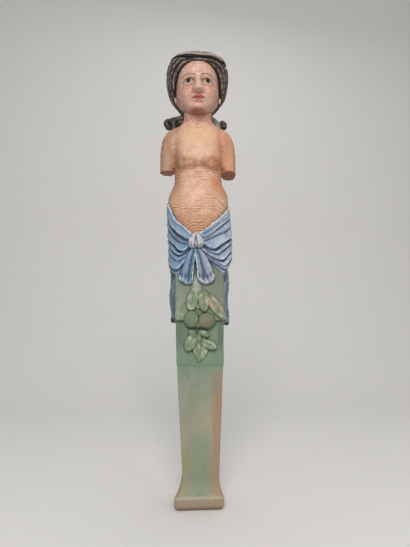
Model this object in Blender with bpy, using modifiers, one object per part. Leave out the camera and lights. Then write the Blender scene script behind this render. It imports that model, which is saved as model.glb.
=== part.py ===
"""A carved and painted wooden term: an armless woman's bust with a knotted cloth at
the hips, growing out of a tapering pilaster with a flared foot and a leaf ornament.

It is one piece of wood. Each form is first made as a rough blank. The blanks are
closed into one skin, and the skin is cut flat behind and below.
Metres, +Z up, the front faces -Y, the origin is under the middle of the foot.
"""

import math

import bmesh
import bpy
import numpy as np
from mathutils.bvhtree import BVHTree

NAME = "carved_figure"

# The pilaster, from the foot up
FOOT_WIDTH = 0.0765
FOOT_DEPTH = 0.069
FOOT_OFFSET = -0.003  # the foot was cut a little to the left of the shaft
FOOT_BAND = 0.017
FOOT_ROUNDING = 0.0045
FOOT_CORNER = 0.006  # radius of the foot's front corners, seen from above
FLARE_HEIGHT = 0.028
SHAFT_LENGTH = 0.163
SHAFT_FOOT_WIDTH = 0.055
SHAFT_TOP_WIDTH = 0.0714
SHAFT_FOOT_DEPTH = 0.060
SHAFT_TOP_DEPTH = 0.0622
PANEL_LENGTH = 0.068
PANEL_PROUD = 0.0009  # how far the panel stands out from the shaft below it
PANEL_TOP_WIDTH = 0.0744
PANEL_SCOOP = 0.0034  # the hollow behind the ornament
BLOCK_WIDTH = 0.0764
BLOCK_DEPTH = 0.069
BLOCK_LENGTH = 0.092
EDGE_RADIUS = 0.0015

# The figure, whose forms are shares of its own height
FIGURE_LIFT = 0.064  # from the block's lower edge up to the figure's base
FIGURE_HEIGHT = 0.406

# Places on the figure, in its own units
FIGURE_BACK = 34.5
ARM_INNER = 40  # the arms lie beyond this
CHIN = 281.5
FACE_SCALE = 0.96  # the face's own units to the figure's
LOCK_WIDTH = 15.2
LOCK_DEPTH = 3.8
# Half the width of the cloth's oval, and its front and back
HULL_HALF = 51.5
HULL_FRONT = -35.5
HULL_BACK = 58.0

# How the skin is made
SKIN_CELL = 0.0015
SKIN_SMOOTHING = 2
SKIN_TRIANGLES = 10300
CUT_OVERRUN = 0.004  # how far the blanks run past the flat cuts
SAWN_TURN = 0.9  # a facet of an arm that faces down this squarely was sawn
SAWN_NEAR = 0.0001  # facets this near the back or the floor were sawn
CUTTER_REACH = 1.0  # how far the cutters run past the wood

# Values that follow from the sizes
UNIT = FIGURE_HEIGHT / 406  # the figure is laid out in 406 units, a millimetre each here
LEAF_UNIT = BLOCK_WIDTH / 76.4  # the ornament follows the block's width
BACK = FOOT_DEPTH / 2
SHAFT_BASE = FOOT_BAND + FLARE_HEIGHT
PANEL_BASE = SHAFT_BASE + SHAFT_LENGTH
BLOCK_BASE = PANEL_BASE + PANEL_LENGTH
FIGURE_BASE = BLOCK_BASE + FIGURE_LIFT
BLOCK_FRONT = BACK - BLOCK_DEPTH

FLESH, FACE, HAIR, CLOTH, GREEN, WOOD = range(6)
PAINTS = (
    ("flesh_paint", (0.72, 0.47, 0.29), 0.6),
    ("face_paint", (0.76, 0.49, 0.38), 0.5),
    ("hair_paint", (0.10, 0.075, 0.065), 0.55),
    ("blue_paint", (0.24, 0.38, 0.56), 0.6),
    ("green_paint", (0.25, 0.31, 0.21), 0.6),
    ("bare_wood", (0.33, 0.20, 0.12), 0.75),
)


def clear_scene():
    for thing in list(bpy.data.objects):
        bpy.data.objects.remove(thing, do_unlink=True)


def on_figure(points):
    """Points of the figure, in units from its base and from the middle of its depth."""
    return np.asarray(points, float) * UNIT + (0.0, BACK - FIGURE_BACK * UNIT, FIGURE_BASE)


def on_block(points):
    """Points of the ornament, in its units from the block's lower edge and front."""
    return np.asarray(points, float) * LEAF_UNIT + (0.0, BLOCK_FRONT, BLOCK_BASE)


def bell(distance, width):
    """A smooth bump that is 1 in the middle and fades over the width."""
    return np.exp(-((distance / width) ** 2))


def smooth(low, high, value):
    """Rises from 0 at low to 1 at high, or falls where low is over high."""
    share = np.clip((value - low) / (high - low), 0.0, 1.0)
    return share * share * (3 - 2 * share)


def through(rows, at):
    """Reads rows of (place, value, value...) on a smooth curve, at each of the places."""
    rows = np.asarray(rows, float)
    place, value = rows[:, 0], rows[:, 1:]
    slope = np.zeros_like(value)
    slope[1:-1] = (value[2:] - value[:-2]) / (place[2:] - place[:-2])[:, None]
    at = np.clip(at, place[0], place[-1])
    i = np.clip(np.searchsorted(place, at) - 1, 0, len(place) - 2)
    span = (place[i + 1] - place[i])[:, None]
    t = (at[:, None] - place[i][:, None]) / span
    a, b = value[i], value[i + 1]
    slope_a, slope_b = slope[i] * span, slope[i + 1] * span
    bend = slope_a + slope_b - 2 * (b - a)
    return a + t * (slope_a + t * (3 * (b - a) - 2 * slope_a - slope_b + t * bend))


def ovals(width, front, back, power, count):
    """x and y round rounded sections, a row for each width."""
    turn = np.linspace(0, 2 * math.pi, count, endpoint=False)[None, :]
    c, s = np.cos(turn), np.sin(turn)
    width, front, back = width[:, None], front[:, None], back[:, None]
    x = np.sign(c) * np.abs(c) ** (2 / power) * width
    y = (front + back) / 2 + np.sign(s) * np.abs(s) ** (2 / power) * (back - front) / 2
    return x, y


def board(width, front, back, scoop=0.0, radius=EDGE_RADIUS, per_side=10, per_corner=4):
    """x and y round a board with rounded arrises, its front hollowed by scoop."""
    points = []
    corners = ((1, 1, 0), (-1, 1, 90), (-1, -1, 180), (1, -1, 270))
    half = width / 2 - radius
    centres = [(sx * half, back - radius if sy > 0 else front + radius) for sx, sy, _ in corners]
    for index, (_, _, start) in enumerate(corners):
        cx, cy = centres[index]
        for k in range(per_corner + 1):
            turn = math.radians(start + 90 * k / per_corner)
            points.append((cx + radius * math.cos(turn), cy + radius * math.sin(turn)))
        nx, ny = centres[(index + 1) % 4]
        turn = math.radians(start + 90)
        for k in range(1, per_side):
            share = k / per_side
            x = cx + (nx - cx) * share + radius * math.cos(turn)
            y = cy + (ny - cy) * share + radius * math.sin(turn)
            if start == 180:
                y += scoop * (1 - (2 * x / width) ** 2) ** 2
            points.append((x, y))
    return np.array(points).T


def loft(mesh, rings):
    """Adds a closed skin over rings of points, each end closed to its middle."""
    rows = [[mesh.verts.new(spot) for spot in ring] for ring in rings]
    faces = []
    for lower, upper in zip(rows, rows[1:]):
        for i in range(len(lower)):
            faces.append(mesh.faces.new((lower[i - 1], lower[i], upper[i], upper[i - 1])))
    for row, ring in ((rows[0], rings[0]), (rows[-1], rings[-1])):
        middle = mesh.verts.new(np.mean(ring, axis=0))
        for i in range(len(row)):
            faces.append(mesh.faces.new((row[i - 1], row[i], middle)))
    bmesh.ops.recalc_face_normals(mesh, faces=faces)


def sheet(mesh, front, behind):
    """Adds a closed sheet between two grids of points of one shape."""
    loft(mesh, np.concatenate((front, behind[:, ::-1]), axis=1))


def ball(mesh, centre, radii, place=on_figure, tilt=0.0):
    """Adds an egg at a place of the figure or the ornament, tilted in the front view."""
    made = bmesh.ops.create_uvsphere(mesh, u_segments=24, v_segments=14, radius=1.0)
    c, s = math.cos(math.radians(tilt)), math.sin(math.radians(tilt))
    for v in made["verts"]:
        x, y, z = (v.co[k] * radii[k] for k in range(3))
        v.co = place((centre[0] + x * c - z * s, centre[1] + y, centre[2] + x * s + z * c))


def tubes(mesh, routes, place=on_figure, scale=UNIT):
    """Adds round rolls of wood: each route is rows of (x, y, z, radius)."""
    curve = bpy.data.curves.new("rolls", "CURVE")
    curve.dimensions = "3D"
    curve.bevel_depth = scale
    curve.bevel_resolution = 3
    curve.use_fill_caps = True
    curve.resolution_u = 5
    for route in routes:
        spline = curve.splines.new("NURBS")
        spline.points.add(len(route) - 1)
        spline.use_endpoint_u = True
        spline.order_u = 3
        for knot, (x, y, z, radius) in zip(spline.points, route):
            knot.co = (*place((x, y, z)), 1.0)
            knot.radius = radius
    holder = bpy.data.objects.new("rolls", curve)
    bpy.context.scene.collection.objects.link(holder)
    graph = bpy.context.evaluated_depsgraph_get()
    made = bpy.data.meshes.new_from_object(holder.evaluated_get(graph))
    mesh.from_mesh(made)
    bmesh.ops.remove_doubles(mesh, verts=mesh.verts, dist=1e-6)
    bpy.data.objects.remove(holder, do_unlink=True)
    bpy.data.meshes.remove(made)
    bpy.data.curves.remove(curve)


# The pilaster


def pilaster(mesh):
    rings = []

    def ring(z, width, depth, scoop=0.0, spread=0.0):
        # The foot's flare fades towards the back, and its front corners are round
        radius = EDGE_RADIUS + (FOOT_CORNER - EDGE_RADIUS) * spread
        x, y = board(width, BACK - depth, BACK + CUT_OVERRUN, scoop, radius)
        behind = np.clip((y - BACK + depth) / depth, 0, 1)
        overhang = (FOOT_WIDTH - SHAFT_FOOT_WIDTH) / 2 * spread
        x = x - np.sign(x) * overhang * (1 - (1 - behind) ** 1.6)
        rings.append(np.stack((x + FOOT_OFFSET * spread, y, np.full_like(x, z)), axis=-1))

    rounded_to = FOOT_BAND * 0.5
    for z in (-CUT_OVERRUN, 0.0, *np.linspace(rounded_to * 0.25, rounded_to, 4), FOOT_BAND):
        inset = FOOT_ROUNDING * max(0.0, 1 - z / rounded_to) ** 2
        ring(z, FOOT_WIDTH - 2 * inset, FOOT_DEPTH - inset, spread=1.0)
    for share in np.linspace(0.0, 1.0, 12)[1:]:
        spread = (1 - share) ** 2.3
        width = SHAFT_FOOT_WIDTH + (FOOT_WIDTH - SHAFT_FOOT_WIDTH) * spread
        depth = SHAFT_FOOT_DEPTH + (FOOT_DEPTH - SHAFT_FOOT_DEPTH) * spread
        ring(FOOT_BAND + share * FLARE_HEIGHT, width, depth, spread=spread)
    step = 0.0004
    ring(PANEL_BASE - step, SHAFT_TOP_WIDTH, SHAFT_TOP_DEPTH)
    for share in np.linspace(0.0, 1.0, 8):
        width = SHAFT_TOP_WIDTH + 2 * PANEL_PROUD
        width += (PANEL_TOP_WIDTH - width) * share
        z = PANEL_BASE + (PANEL_LENGTH - step) * share
        ring(z, width, SHAFT_TOP_DEPTH + PANEL_PROUD, PANEL_SCOOP * smooth(0.05, 0.8, share))
    ring(BLOCK_BASE, BLOCK_WIDTH, BLOCK_DEPTH)
    ring(BLOCK_BASE + BLOCK_LENGTH, BLOCK_WIDTH, BLOCK_DEPTH)
    loft(mesh, rings)


def leaf(mesh, base, tip, width, rise, lift, blunt):
    """Adds a leaf lying on the front, from base to tip, with a sunk midrib and veins.

    rise is how far its edge stands out of the ground, lift how far its tip does.
    """
    base, tip = np.array(base, float), np.array(tip, float)
    along = tip - base
    across = np.array([along[2], 0, -along[0]]) / np.hypot(along[0], along[2])
    t = np.linspace(0, 1, 21)[:, None]
    s = np.linspace(-1, 1, 13)[None, :]
    swell = np.sin(math.pi * np.minimum(1.0, t * 0.62 + 0.12)) ** 0.8
    taper = (1 - t ** (3.0 + 5 * blunt)) ** (0.75 - 0.3 * blunt)
    half = width / 2 * swell * taper + 0.3
    cup = (1 - s * s) * rise * 0.5 - bell(s, 0.16) * rise * 0.38
    vein = 0.45 * np.sin(11 * (t * 2.4 - np.abs(s) * 0.9)) * (1 - np.abs(s)) * np.abs(s) * 3.4
    spot = base + along * t[..., None] + across * (s * half)[..., None]
    front = spot - np.array([0, 1, 0]) * (rise + cup + vein + lift * t * t)[..., None]
    sheet(mesh, on_block(front), on_block(spot + np.array([0, 4.0, 0])))


def ornament(mesh):
    """Leaves and buds hang from the block over the panel, round two fruits."""
    # (base, tip, width, rise, lift, bluntness)
    leaves = (
        ((-21, 1, 27), (-37, 1, 1.5), 15, 1.0, 0.5, 0.4),
        ((10, 1, 42), (39.5, 1, 0), 16.5, 3.4, 1.4, 0.1),
        ((-8, 0, 49), (-14.5, 1, 15.5), 16, 3.4, 2.0, 0.9),
        ((-2.5, 0, 49), (-2.5, 1, 17), 9.5, 2.2, 1.0, 0.6),
        ((4, 0, 49), (7, 1, 13.5), 14.5, 4.0, 2.4, 0.9),
        ((-7, 7, -21), (-21.5, 6, -46), 16.5, 3.8, 2.8, 0.5),
        ((1, 7, -32), (26, 6, -42.5), 13, 4.2, 2.8, 0.2),
        ((3.5, 8, -27), (-1.5, 7, -63), 25, 2.6, 1.4, 0.0),
    )
    for settings in leaves:
        leaf(mesh, *settings)
    # (centre, radii, tilt)
    buds = (
        ((-13.0, 2.0, 2.2), (12.3, 7.8, 13.6), 10),
        ((9.8, 2.0, 0.0), (14.6, 7.8, 12.2), 0),
        ((-12, 5.0, -19.0), (6.4, 5.4, 5.0), -30),
        ((6, 5.0, -20.5), (9.0, 6.0, 5.2), -18),
        ((-2, 7.0, -27.0), (4.5, 4.5, 7.0), 0),
        ((-2, 6.0, -3.0), (9.0, 7.5, 9.0), 0),
        ((-5.2, 1.0, 56.0), (6.6, 3.6, 9.5), 0),
    )
    for centre, radii, tilt in buds:
        ball(mesh, centre, radii, on_block, tilt)
    rims = []
    # Raised rims on the fruits
    for x, z, rx, rz, start, end in ((-13.0, 3.2, 8.6, 9.6, -40, 120), (9.8, 0.4, 10.4, 8.8, -10, 190)):
        turn = np.radians(np.linspace(start, end, 8))
        rim = (x + rx * np.cos(turn), turn * 0 - 3.6, z + rz * np.sin(turn), turn * 0 + 1.4)
        rims.append(np.column_stack(rim))
    tubes(mesh, rims, on_block, LEAF_UNIT)


# The body


def bust_line(side):
    """The height of the line under the bust: a low arch in the middle, rising at the armpits."""
    return 183.0 + 6.5 * bell(side, 13.0) + 12.0 * smooth(27.0, 41.0, side)


def torso_relief(x, z):
    """How far the bust and the belly stand out of the trunk."""
    side = np.abs(x)
    line = bust_line(side)
    out = 6.0 * smooth(line - 3.0, line + 6.5, z) * smooth(264, 206, z) * smooth(46, 30, side)
    out = out + 1.7 * bell(side - 21, 14) * bell(z - 203, 17)
    # The belly is full, with a crease under it and a small navel
    out = out + 4.2 * bell(x, 27) * bell(z - 130, 24)
    out = out - 1.5 * bell(z - 110.5 - 0.003 * x * x, 2.8) * bell(x, 22)
    out = out - 0.7 * bell(x, 3.0) * bell(z - 138, 3.0)
    # Collarbones and the notch between them
    bone = z - 257 - 0.10 * (side - 8) - 3.0 * bell(side - 30, 12)
    out = out + 0.9 * bell(bone, 2.8) * smooth(3, 8, side) * smooth(46, 34, side)
    return out - 0.5 * bell(x, 3.6) * bell(z - 260, 5)


def body(mesh):
    """The trunk and neck, and the two sawn arms."""
    # Height, half width, front and back
    trunk = (
        (70, 42, -27, 40),
        (100, 45.5, -29.5, 40),
        (118, 48.4, -30, 40),
        (130, 50.0, -30, 40),
        (138, 50.4, -29, 39),
        (146, 49.2, -28, 36),
        (154, 45.4, -27, 33),
        (163, 41.2, -26.2, 31),
        (174, 39.8, -26.5, 31),
        (190, 40.4, -28, 32.5),
        (206, 42.2, -29, 35),
        (224, 44.5, -28.5, 37),
        (242, 47.5, -26, 38),
        (254, 47.5, -23, 36),
        (262, 43, -20, 32),
        (268, 33, -19, 28),
        (274, 26.8, -20.5, 25),
        (284, 24.3, -23.5, 24),
        (300, 24.4, -25, 24),
        (316, 25, -25, 24),
    )
    z = np.linspace(trunk[0][0], trunk[-1][0], 130)
    width, front, back = through(trunk, z).T
    x, y = ovals(width, front, back, 2.4, 120)
    ahead = smooth(front[:, None] * 0.1, front[:, None] * 0.7, y)
    tall = z[:, None] + 0 * x
    loft(mesh, on_figure(np.stack((x, y - torso_relief(x, tall) * ahead, tall), axis=-1)))
    # Each row of an arm: height, centre, half width, half depth
    stump = (
        (186, 52.6, 12.0, 14.0),
        (200, 52.6, 12.4, 14.8),
        (220, 51.2, 13.2, 15.8),
        (236, 48.6, 14.0, 16.5),
        (248, 45.2, 13.8, 16.0),
        (257, 41.0, 12.5, 14.5),
        (265, 35.0, 9.0, 11.0),
    )
    armpit = np.array([(43, -2, 192, 6.0), (43.5, -4, 212, 9.0), (42, -7, 235, 11), (38, -8, 252, 9)])
    # Which arm, how much longer it is, and the slope of its sawn end
    for side, longer, cut_slope in ((-1, -0.5, -0.04), (1, 2.6, 0.24)):
        z = np.linspace(stump[0][0], stump[-1][0], 40)
        centre, half, depth = through(stump, z).T
        x, y = ovals(half, -depth, depth, 2.2, 64)
        slope = cut_slope * np.maximum(0.0, 1 - (z - z[0]) / 30)[:, None]
        tall = z[:, None] - slope * y - longer * smooth(30, 0, z - z[0])[:, None]
        loft(mesh, on_figure(np.stack((side * centre[:, None] + x, y + 3, tall), axis=-1)))
        tubes(mesh, [armpit * (side, 1, 1, 1)])


# The head


def face_relief(x, v):
    """How far the face stands out at x across and v over the chin.

    The proportions are the usual thirds: nose base, brow and hairline lie 29, 59 and
    88 over the chin, and five eye widths make the face's width.
    """
    side = np.abs(x)
    # The nose: a ridge that widens and rises towards its tip
    down = smooth(62, 34, v)
    half = 4.4 + 3.2 * smooth(46, 33, v)
    height = (2.4 + 9.4 * down**1.3) * smooth(27.5, 32.5, v) * smooth(68, 60, v)
    out = height * np.clip(1 - (side / (half + 3.2)) ** 2, 0, 1) ** 1.35
    out = out + 3.2 * bell(side - 6.4, 2.7) * bell(v - 32.4, 3.1)
    out = out - 1.4 * bell(side - 3.6, 1.5) * bell(v - 29.4, 1.2)
    # Hollows under the brow, and the eyes in them
    out = out - 4.4 * bell(side - 16.5, 8.6) * bell(v - 52.0, 6.4)
    out = out - 2.2 * bell(side - 8.0, 3.4) * bell(v - 53.5, 5.0)
    lens = ((side - 16.4) / 9.0) ** 2 + ((v - 51.6) / 5.6) ** 2
    out = out + 3.6 * np.clip(1 - lens, 0, 1) ** 0.6
    across = np.clip(1 - ((side - 16.4) / 9.2) ** 2, 0, 1)
    upper = v - (51.6 + 4.4 * across**0.8)
    lower = v - (51.6 - 3.6 * across**0.9)
    rim = smooth(10.2, 8.0, np.abs(side - 16.4))
    out = out + rim * (1.3 * bell(upper - 0.6, 1.1) - 0.7 * bell(upper - 2.8, 0.9))
    out = out + rim * (0.9 * bell(lower + 0.5, 1.1) - 0.4 * bell(lower + 2.6, 1.2))
    out = out + 1.5 * bell(side - 16.5, 11.0) * bell(v - 60.5 - 1.8 * bell(side - 17, 8), 3.2)
    # Cheeks, mouth and chin
    out = out + 2.6 * bell(side - 20.5, 11.5) * bell(v - 36.0, 12.0)
    out = out - 0.9 * bell(side - 13.0, 4.0) * bell(v - 27.0, 6.0)
    out = out + 2.8 * bell(side, 13.0) * bell(v - 20.0, 8.5)
    mouth = np.clip(1 - (side / 11.5) ** 2, 0, 1)
    bow = 1.3 * bell(side - 3.8, 3.0) - 0.9 * bell(side, 1.8)
    out = out + 2.3 * mouth**0.7 * bell(v - 22.4 - bow * 0.5, 1.9)
    out = out + 2.7 * mouth**0.6 * bell(v - 16.8, 2.3)
    out = out - 2.1 * mouth**0.35 * bell(v - 19.6 + 0.5 * bell(side, 3.5), 0.85)
    out = out - 0.8 * bell(side, 1.8) * bell(v - 26.3, 2.4)
    out = out - 1.5 * bell(side, 9.0) * bell(v - 12.0, 2.4)
    return out + 3.2 * bell(side, 9.0) * bell(v - 5.0, 5.5)


def face(mesh):
    """The head inside the hair."""
    # Height over the chin, half width, front and back
    skull = (
        (-1.5, 6, -37.5, -28),
        (1, 11, -39.5, -24),
        (4, 15.5, -40, -19),
        (8, 20, -40, -14),
        (13, 24.3, -39.5, -9),
        (19, 28.3, -39.5, -4),
        (26, 32.2, -40, 1),
        (34, 35.6, -40, 7),
        (44, 38.2, -39.6, 14),
        (52, 39, -39.6, 20),
        (60, 39, -41, 20),
        (70, 38.6, -42, 20),
        (80, 37, -41.5, 20),
        (92, 32, -38, 20),
        (104, 24, -29, 18),
        (112, 14, -17, 10),
    )
    v = np.linspace(skull[0][0], skull[-1][0], 120)
    width, front, back = through(skull, v).T
    turn = np.linspace(0, 2 * math.pi, 110, endpoint=False)[None, :]
    c, s = np.cos(turn), np.sin(turn)
    x = np.sign(c) * np.abs(c) ** 0.86 * width[:, None]
    tall = v[:, None] + 0 * x
    flatness = 0.92 - 0.14 * smooth(45, 75, v)[:, None]
    ahead = back[:, None] + (front - back)[:, None] * np.abs(s) ** flatness
    ahead = ahead - face_relief(x, tall) * smooth(0.15, 0.55, -s)
    y = np.where(s < 0, ahead, back[:, None] + 14 * s)
    loft(mesh, on_figure(np.stack((x, y, tall * FACE_SCALE + CHIN), axis=-1)))
    for side in (-1, 1):
        ball(mesh, (side * 38.6, -9, CHIN + 31), (2.6, 4.4, 6.5), tilt=side * -10)


# Height, half width, front and back of the mass of hair
HAIR_OUTLINE = (
    (258, 27, 17, 40),
    (275, 24.5, 13, 40),
    (292, 22, 6, 40),
    (300, 25, 0, 40),
    (308, 32, -5, 42),
    (318, 42, -14, 42),
    (328, 49, -22, 44),
    (340, 53, -28, 44),
    (352, 55, -33, 44),
    (360, 55.4, -37, 44),
    (366, 55, -41, 44),
    (370, 53.8, -42.4, 44),
    (376, 52, -43.6, 44),
    (382, 49.6, -41.6, 44),
    (388, 46, -36, 43),
    (394, 40, -28, 42),
    (400, 31, -19, 38),
    (404, 20, -10.5, 30),
    (406, 8, -2, 16),
)


def lock_flow(x, y, z):
    """A value that is level along each lock, in millimetres outwards from the face.

    The locks run level from the parting round the temples, then turn down to the nape.
    """
    round_ = np.abs(x) + 0.75 * np.maximum(0.0, y + 38)
    flow = 50 * (np.abs(round_ / 68) ** 2.8 + np.abs((z - 322) / 50) ** 2.8) ** (1 / 2.8)
    return flow + 1.6 * np.sin(0.11 * x + 0.9) + 1.2 * np.sin(0.13 * z + y * 0.09)


def hairline(x, z):
    """1 where the face shows, 0 under the hair."""
    return smooth(1.07, 0.94, np.abs(x / 40.0) ** 2.8 + np.abs((z - 322) / 45.0) ** 2.8)


def hair(mesh):
    """The mass of hair, grooved into locks, and a curl on each shoulder."""
    z = np.linspace(HAIR_OUTLINE[0][0], HAIR_OUTLINE[-1][0], 130)
    width, front, back = through(HAIR_OUTLINE, z).T
    x, y = ovals(width - 0.8, front + 0.5, back, 2.3, 180)
    middle = ((front + back) / 2)[:, None]
    reach = np.hypot(x, y - middle)
    tall = z[:, None] + 0 * x
    lock = ((lock_flow(x, y, tall) - 1.0) / LOCK_WIDTH) % 1.0
    crest = np.sin(math.pi * lock)
    grow = LOCK_DEPTH * (crest - 0.7) * smooth(0, 20, reach)
    # A bold groove parts the crown from the locks round the face
    split = bell(tall - 373.0 - 5.0 * smooth(-18, -34, x), 2.4) * smooth(14, -8, y)
    grow = grow * (1 - split) - 4.4 * split + 1.6 * bell(tall - 380, 5) * smooth(0, -20, y)
    reach = np.maximum(reach, 1.0)
    opening = 26 * hairline(x, tall) * smooth(10, -5, y)
    out_x, out_y = x / reach, (y - middle) / reach
    ring = np.stack((x + out_x * grow, y + out_y * grow + opening, tall), axis=-1)
    loft(mesh, on_figure(ring))
    ball(mesh, (-40, 11, 277), (12, 8, 10))
    ball(mesh, (35, 11, 274), (10, 7, 10.5))
    tubes(
        mesh,
        [
            [(-18, 17, 299, 6.5), (-30, 12, 290, 6), (-43, 9, 286, 5), (-52, 6, 280, 4.6)],
            [(-18, 16, 285, 6.5), (-30, 11, 280, 6), (-40, 8, 274, 5.6), (-47, 6, 268, 4.6)],
            [(-50, 6, 284, 4.2), (-55, 3, 278, 4.4), (-52, 1, 270, 4.6), (-47, 2, 266, 3.8)],
            [(-40, 5, 284, 4.0), (-42, 2, 277, 4.6), (-41, 2, 269, 4.2), (-38, 4, 264, 3.4)],
            [(20, 17, 297, 5.4), (29, 13, 289, 4.4), (35, 10, 284, 3.6), (40, 8, 281, 3.2)],
            [(20, 15, 284, 5.4), (30, 11, 278, 4.6), (36, 9, 274, 4.0), (42, 7, 270, 3.4)],
            [(41, 6, 283, 3.2), (45.5, 3, 278.5, 4.2), (46, 1, 272, 4.6), (43, 2, 266.5, 3.6)],
        ],
    )


# The cloth, laid out by the distance round the hips from the middle of the front, and height
CLOTH_TOP = (
    (-112, 134),
    (-85, 136),
    (-65, 131),
    (-53, 118),
    (-41, 98),
    (-27, 86),
    (-16, 75),
    (-6.5, 69),
    (4, 75),
    (16, 85),
    (30, 97),
    (47, 112),
    (66, 126),
    (85, 132),
    (112, 132),
)
CLOTH_HEM = (
    (-112, 26),
    (-85, 24),
    (-66, 19),
    (-52, 12),
    (-38, 8),
    (-27, 8),
    (-18, 14),
    (-10, 27),
    (-3, 34),
    (5, 29),
    (14, 20),
    (25, 12),
    (34, 10),
    (43, 15),
    (52, 22),
    (64, 29),
    (85, 28),
    (112, 26),
)
# How far the ridge stands out, its half width, and the places along it
FOLDS = (
    (3.0, 2.6, ((-108, 112), (-85, 116), (-66, 121), (-53, 101), (-39, 80), (-29, 71), (-17, 65), (-9, 65))),
    (1.6, 2.4, ((-108, 98), (-80, 98), (-62, 92), (-47, 76), (-35, 66), (-24, 61), (-15, 60))),
    (2.8, 2.0, ((-106, 80), (-80, 78), (-64, 72), (-52, 64), (-42, 57), (-33, 49), (-25, 47), (-20, 51))),
    (2.4, 1.8, ((-106, 66), (-80, 66), (-62, 60), (-50, 51), (-38, 43), (-30, 40), (-24, 43))),
    (1.7, 1.8, ((-106, 52), (-80, 52), (-64, 48), (-50, 40), (-38, 33), (-30, 31), (-22, 35))),
    (2.2, 2.2, ((-106, 38), (-80, 38), (-62, 30), (-50, 24), (-38, 18), (-27, 18), (-18, 26), (-11, 40))),
    (1.2, 1.4, ((9, 74), (29, 90), (48, 105), (66, 119), (85, 124), (108, 124))),
    (1.8, 1.8, ((5, 67), (14, 71), (29, 83), (48, 98), (66, 111), (85, 116), (108, 116))),
    (1.5, 2.4, ((108, 100), (85, 100), (66, 94), (46, 84), (28, 74), (12, 66), (4, 62))),
    (3.0, 2.4, ((108, 86), (85, 84), (66, 77), (46, 66), (31, 55), (22, 49), (14, 51), (6, 57))),
    (1.9, 1.8, ((108, 74), (85, 72), (66, 66), (46, 55), (34, 46), (24, 41), (12, 46))),
    (2.8, 2.0, ((108, 62), (85, 60), (66, 54), (48, 43), (36, 34), (27, 31), (17, 35), (4, 47))),
    (2.2, 1.8, ((108, 50), (85, 49), (66, 44), (50, 32), (38, 24), (29, 22), (17, 30), (6, 41))),
    (2.4, 2.2, ((108, 39), (85, 38), (66, 35), (52, 27), (40, 18), (28, 18), (15, 27), (3, 40))),
)


def along_line(line, spacing=2.0):
    """A smooth line through the places, read at even steps."""
    line = np.asarray(line, float)
    reach = np.concatenate(([0], np.cumsum(np.linalg.norm(np.diff(line, axis=0), axis=1))))
    at = np.linspace(0, reach[-1], max(6, int(reach[-1] / spacing)))
    return through(np.column_stack((reach, line)), at)


def over_line(u, z, line):
    """How far each place lies over the line, and how far from it."""
    nearest = np.full(u.shape, 1e9)
    over = np.zeros_like(u)
    for (u0, z0), (u1, z1) in zip(line, line[1:]):
        du, dz = u1 - u0, z1 - z0
        share = np.clip(((u - u0) * du + (z - z0) * dz) / (du * du + dz * dz), 0, 1)
        away_u, away_z = u - u0 - du * share, z - z0 - dz * share
        away = np.hypot(away_u, away_z)
        closer = away < nearest
        nearest = np.where(closer, away, nearest)
        over = np.where(closer, np.sign(away_z) * away, over)
    return over


def fold_relief(u, z):
    """How far the folds stand out: a ridge slopes away above and drops sharply below."""
    ridge, hollow = np.zeros_like(u), np.zeros_like(u)
    for height, width, places in FOLDS:
        over = over_line(u, z, along_line(places))
        shape = np.where(over > 0, bell(over, 2.3 * width), bell(over, 0.9 * width))
        ridge = np.maximum(ridge, height * shape)
        hollow = np.maximum(hollow, height * bell(over + 1.7 * width, width))
    return ridge - 0.55 * hollow


def cloth(mesh):
    """The cloth round the hips: its upper edge dips to the knot, its hem swings up beside it."""
    # Height, half width on the left and on the right, and how far the front stands forward
    sides = (
        (0, 48.0, 51.0, 4.0),
        (20, 49.4, 53.0, 3.6),
        (60, 50.2, 56.0, 1.2),
        (90, 51.8, 55.2, 0),
        (112, 52.4, 54.0, 0),
        (136, 52.4, 51.4, 0),
    )
    half, front, back = np.array([HULL_HALF]), np.array([HULL_FRONT]), np.array([HULL_BACK])
    (x,), (y,) = ovals(half, front, back, 2.5, 240)
    (square_x,), (square_y,) = ovals(half, front, back, 4.6, 240)
    step = np.hypot(np.diff(x, append=x[0]), np.diff(y, append=y[0]))
    u = np.concatenate(([0], np.cumsum(step)[:-1]))
    u = u - u[np.argmin(y + np.abs(x) * 1e-3)]
    u = np.where(u > step.sum() / 2, u - step.sum(), u)
    u = np.where(u < -step.sum() / 2, u + step.sum(), u)
    top, hem = through(CLOTH_TOP, u)[:, 0], through(CLOTH_HEM, u)[:, 0]
    z = hem + (top - hem) * np.linspace(0, 1, 80)[:, None]
    # The section is squarer towards the hem, where it covers the block
    square = smooth(52, 14, z)
    x, y = x + (square_x - x) * square, y + (square_y - y) * square
    side = through(sides, z.ravel()).reshape(*z.shape, 3)
    wide = np.where(x > 0, side[..., 1], side[..., 0]) / HULL_HALF
    relief = fold_relief(np.broadcast_to(u, z.shape), z)
    relief = relief * (1 - 0.45 * smooth(52, 72, np.abs(u))) + 1.2 * bell(z - top + 1.6, 1.7)
    out_x, out_y = x / HULL_HALF, (y - (HULL_FRONT + HULL_BACK) / 2) / (HULL_BACK - HULL_FRONT) * 2
    length = np.hypot(out_x, out_y)
    forward = side[..., 2] * smooth(0, -20, y)
    across, ahead = x * wide + out_x / length * relief, y - forward + out_y / length * relief
    ring = np.stack((across, ahead, z), axis=-1)
    # Both edges turn in towards the wood
    inner = ring[[0, -1]] * (0.82, 0.8, 1) + (0, 2, 0)
    loft(mesh, on_figure(np.concatenate((inner[:1], ring, inner[1:]))))
    # A thin roll follows the upper edge
    edge = along_line(CLOTH_TOP[2:-2], 6.0)
    order = np.argsort(u)
    hull = (x[-1] * wide[-1], y[-1] - 0.5)
    spot = [np.interp(edge[:, 0], u[order], values[order]) for values in hull]
    tubes(mesh, [np.column_stack((*spot, edge[:, 1] - 0.4, np.full(len(edge), 1.7)))])


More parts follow.
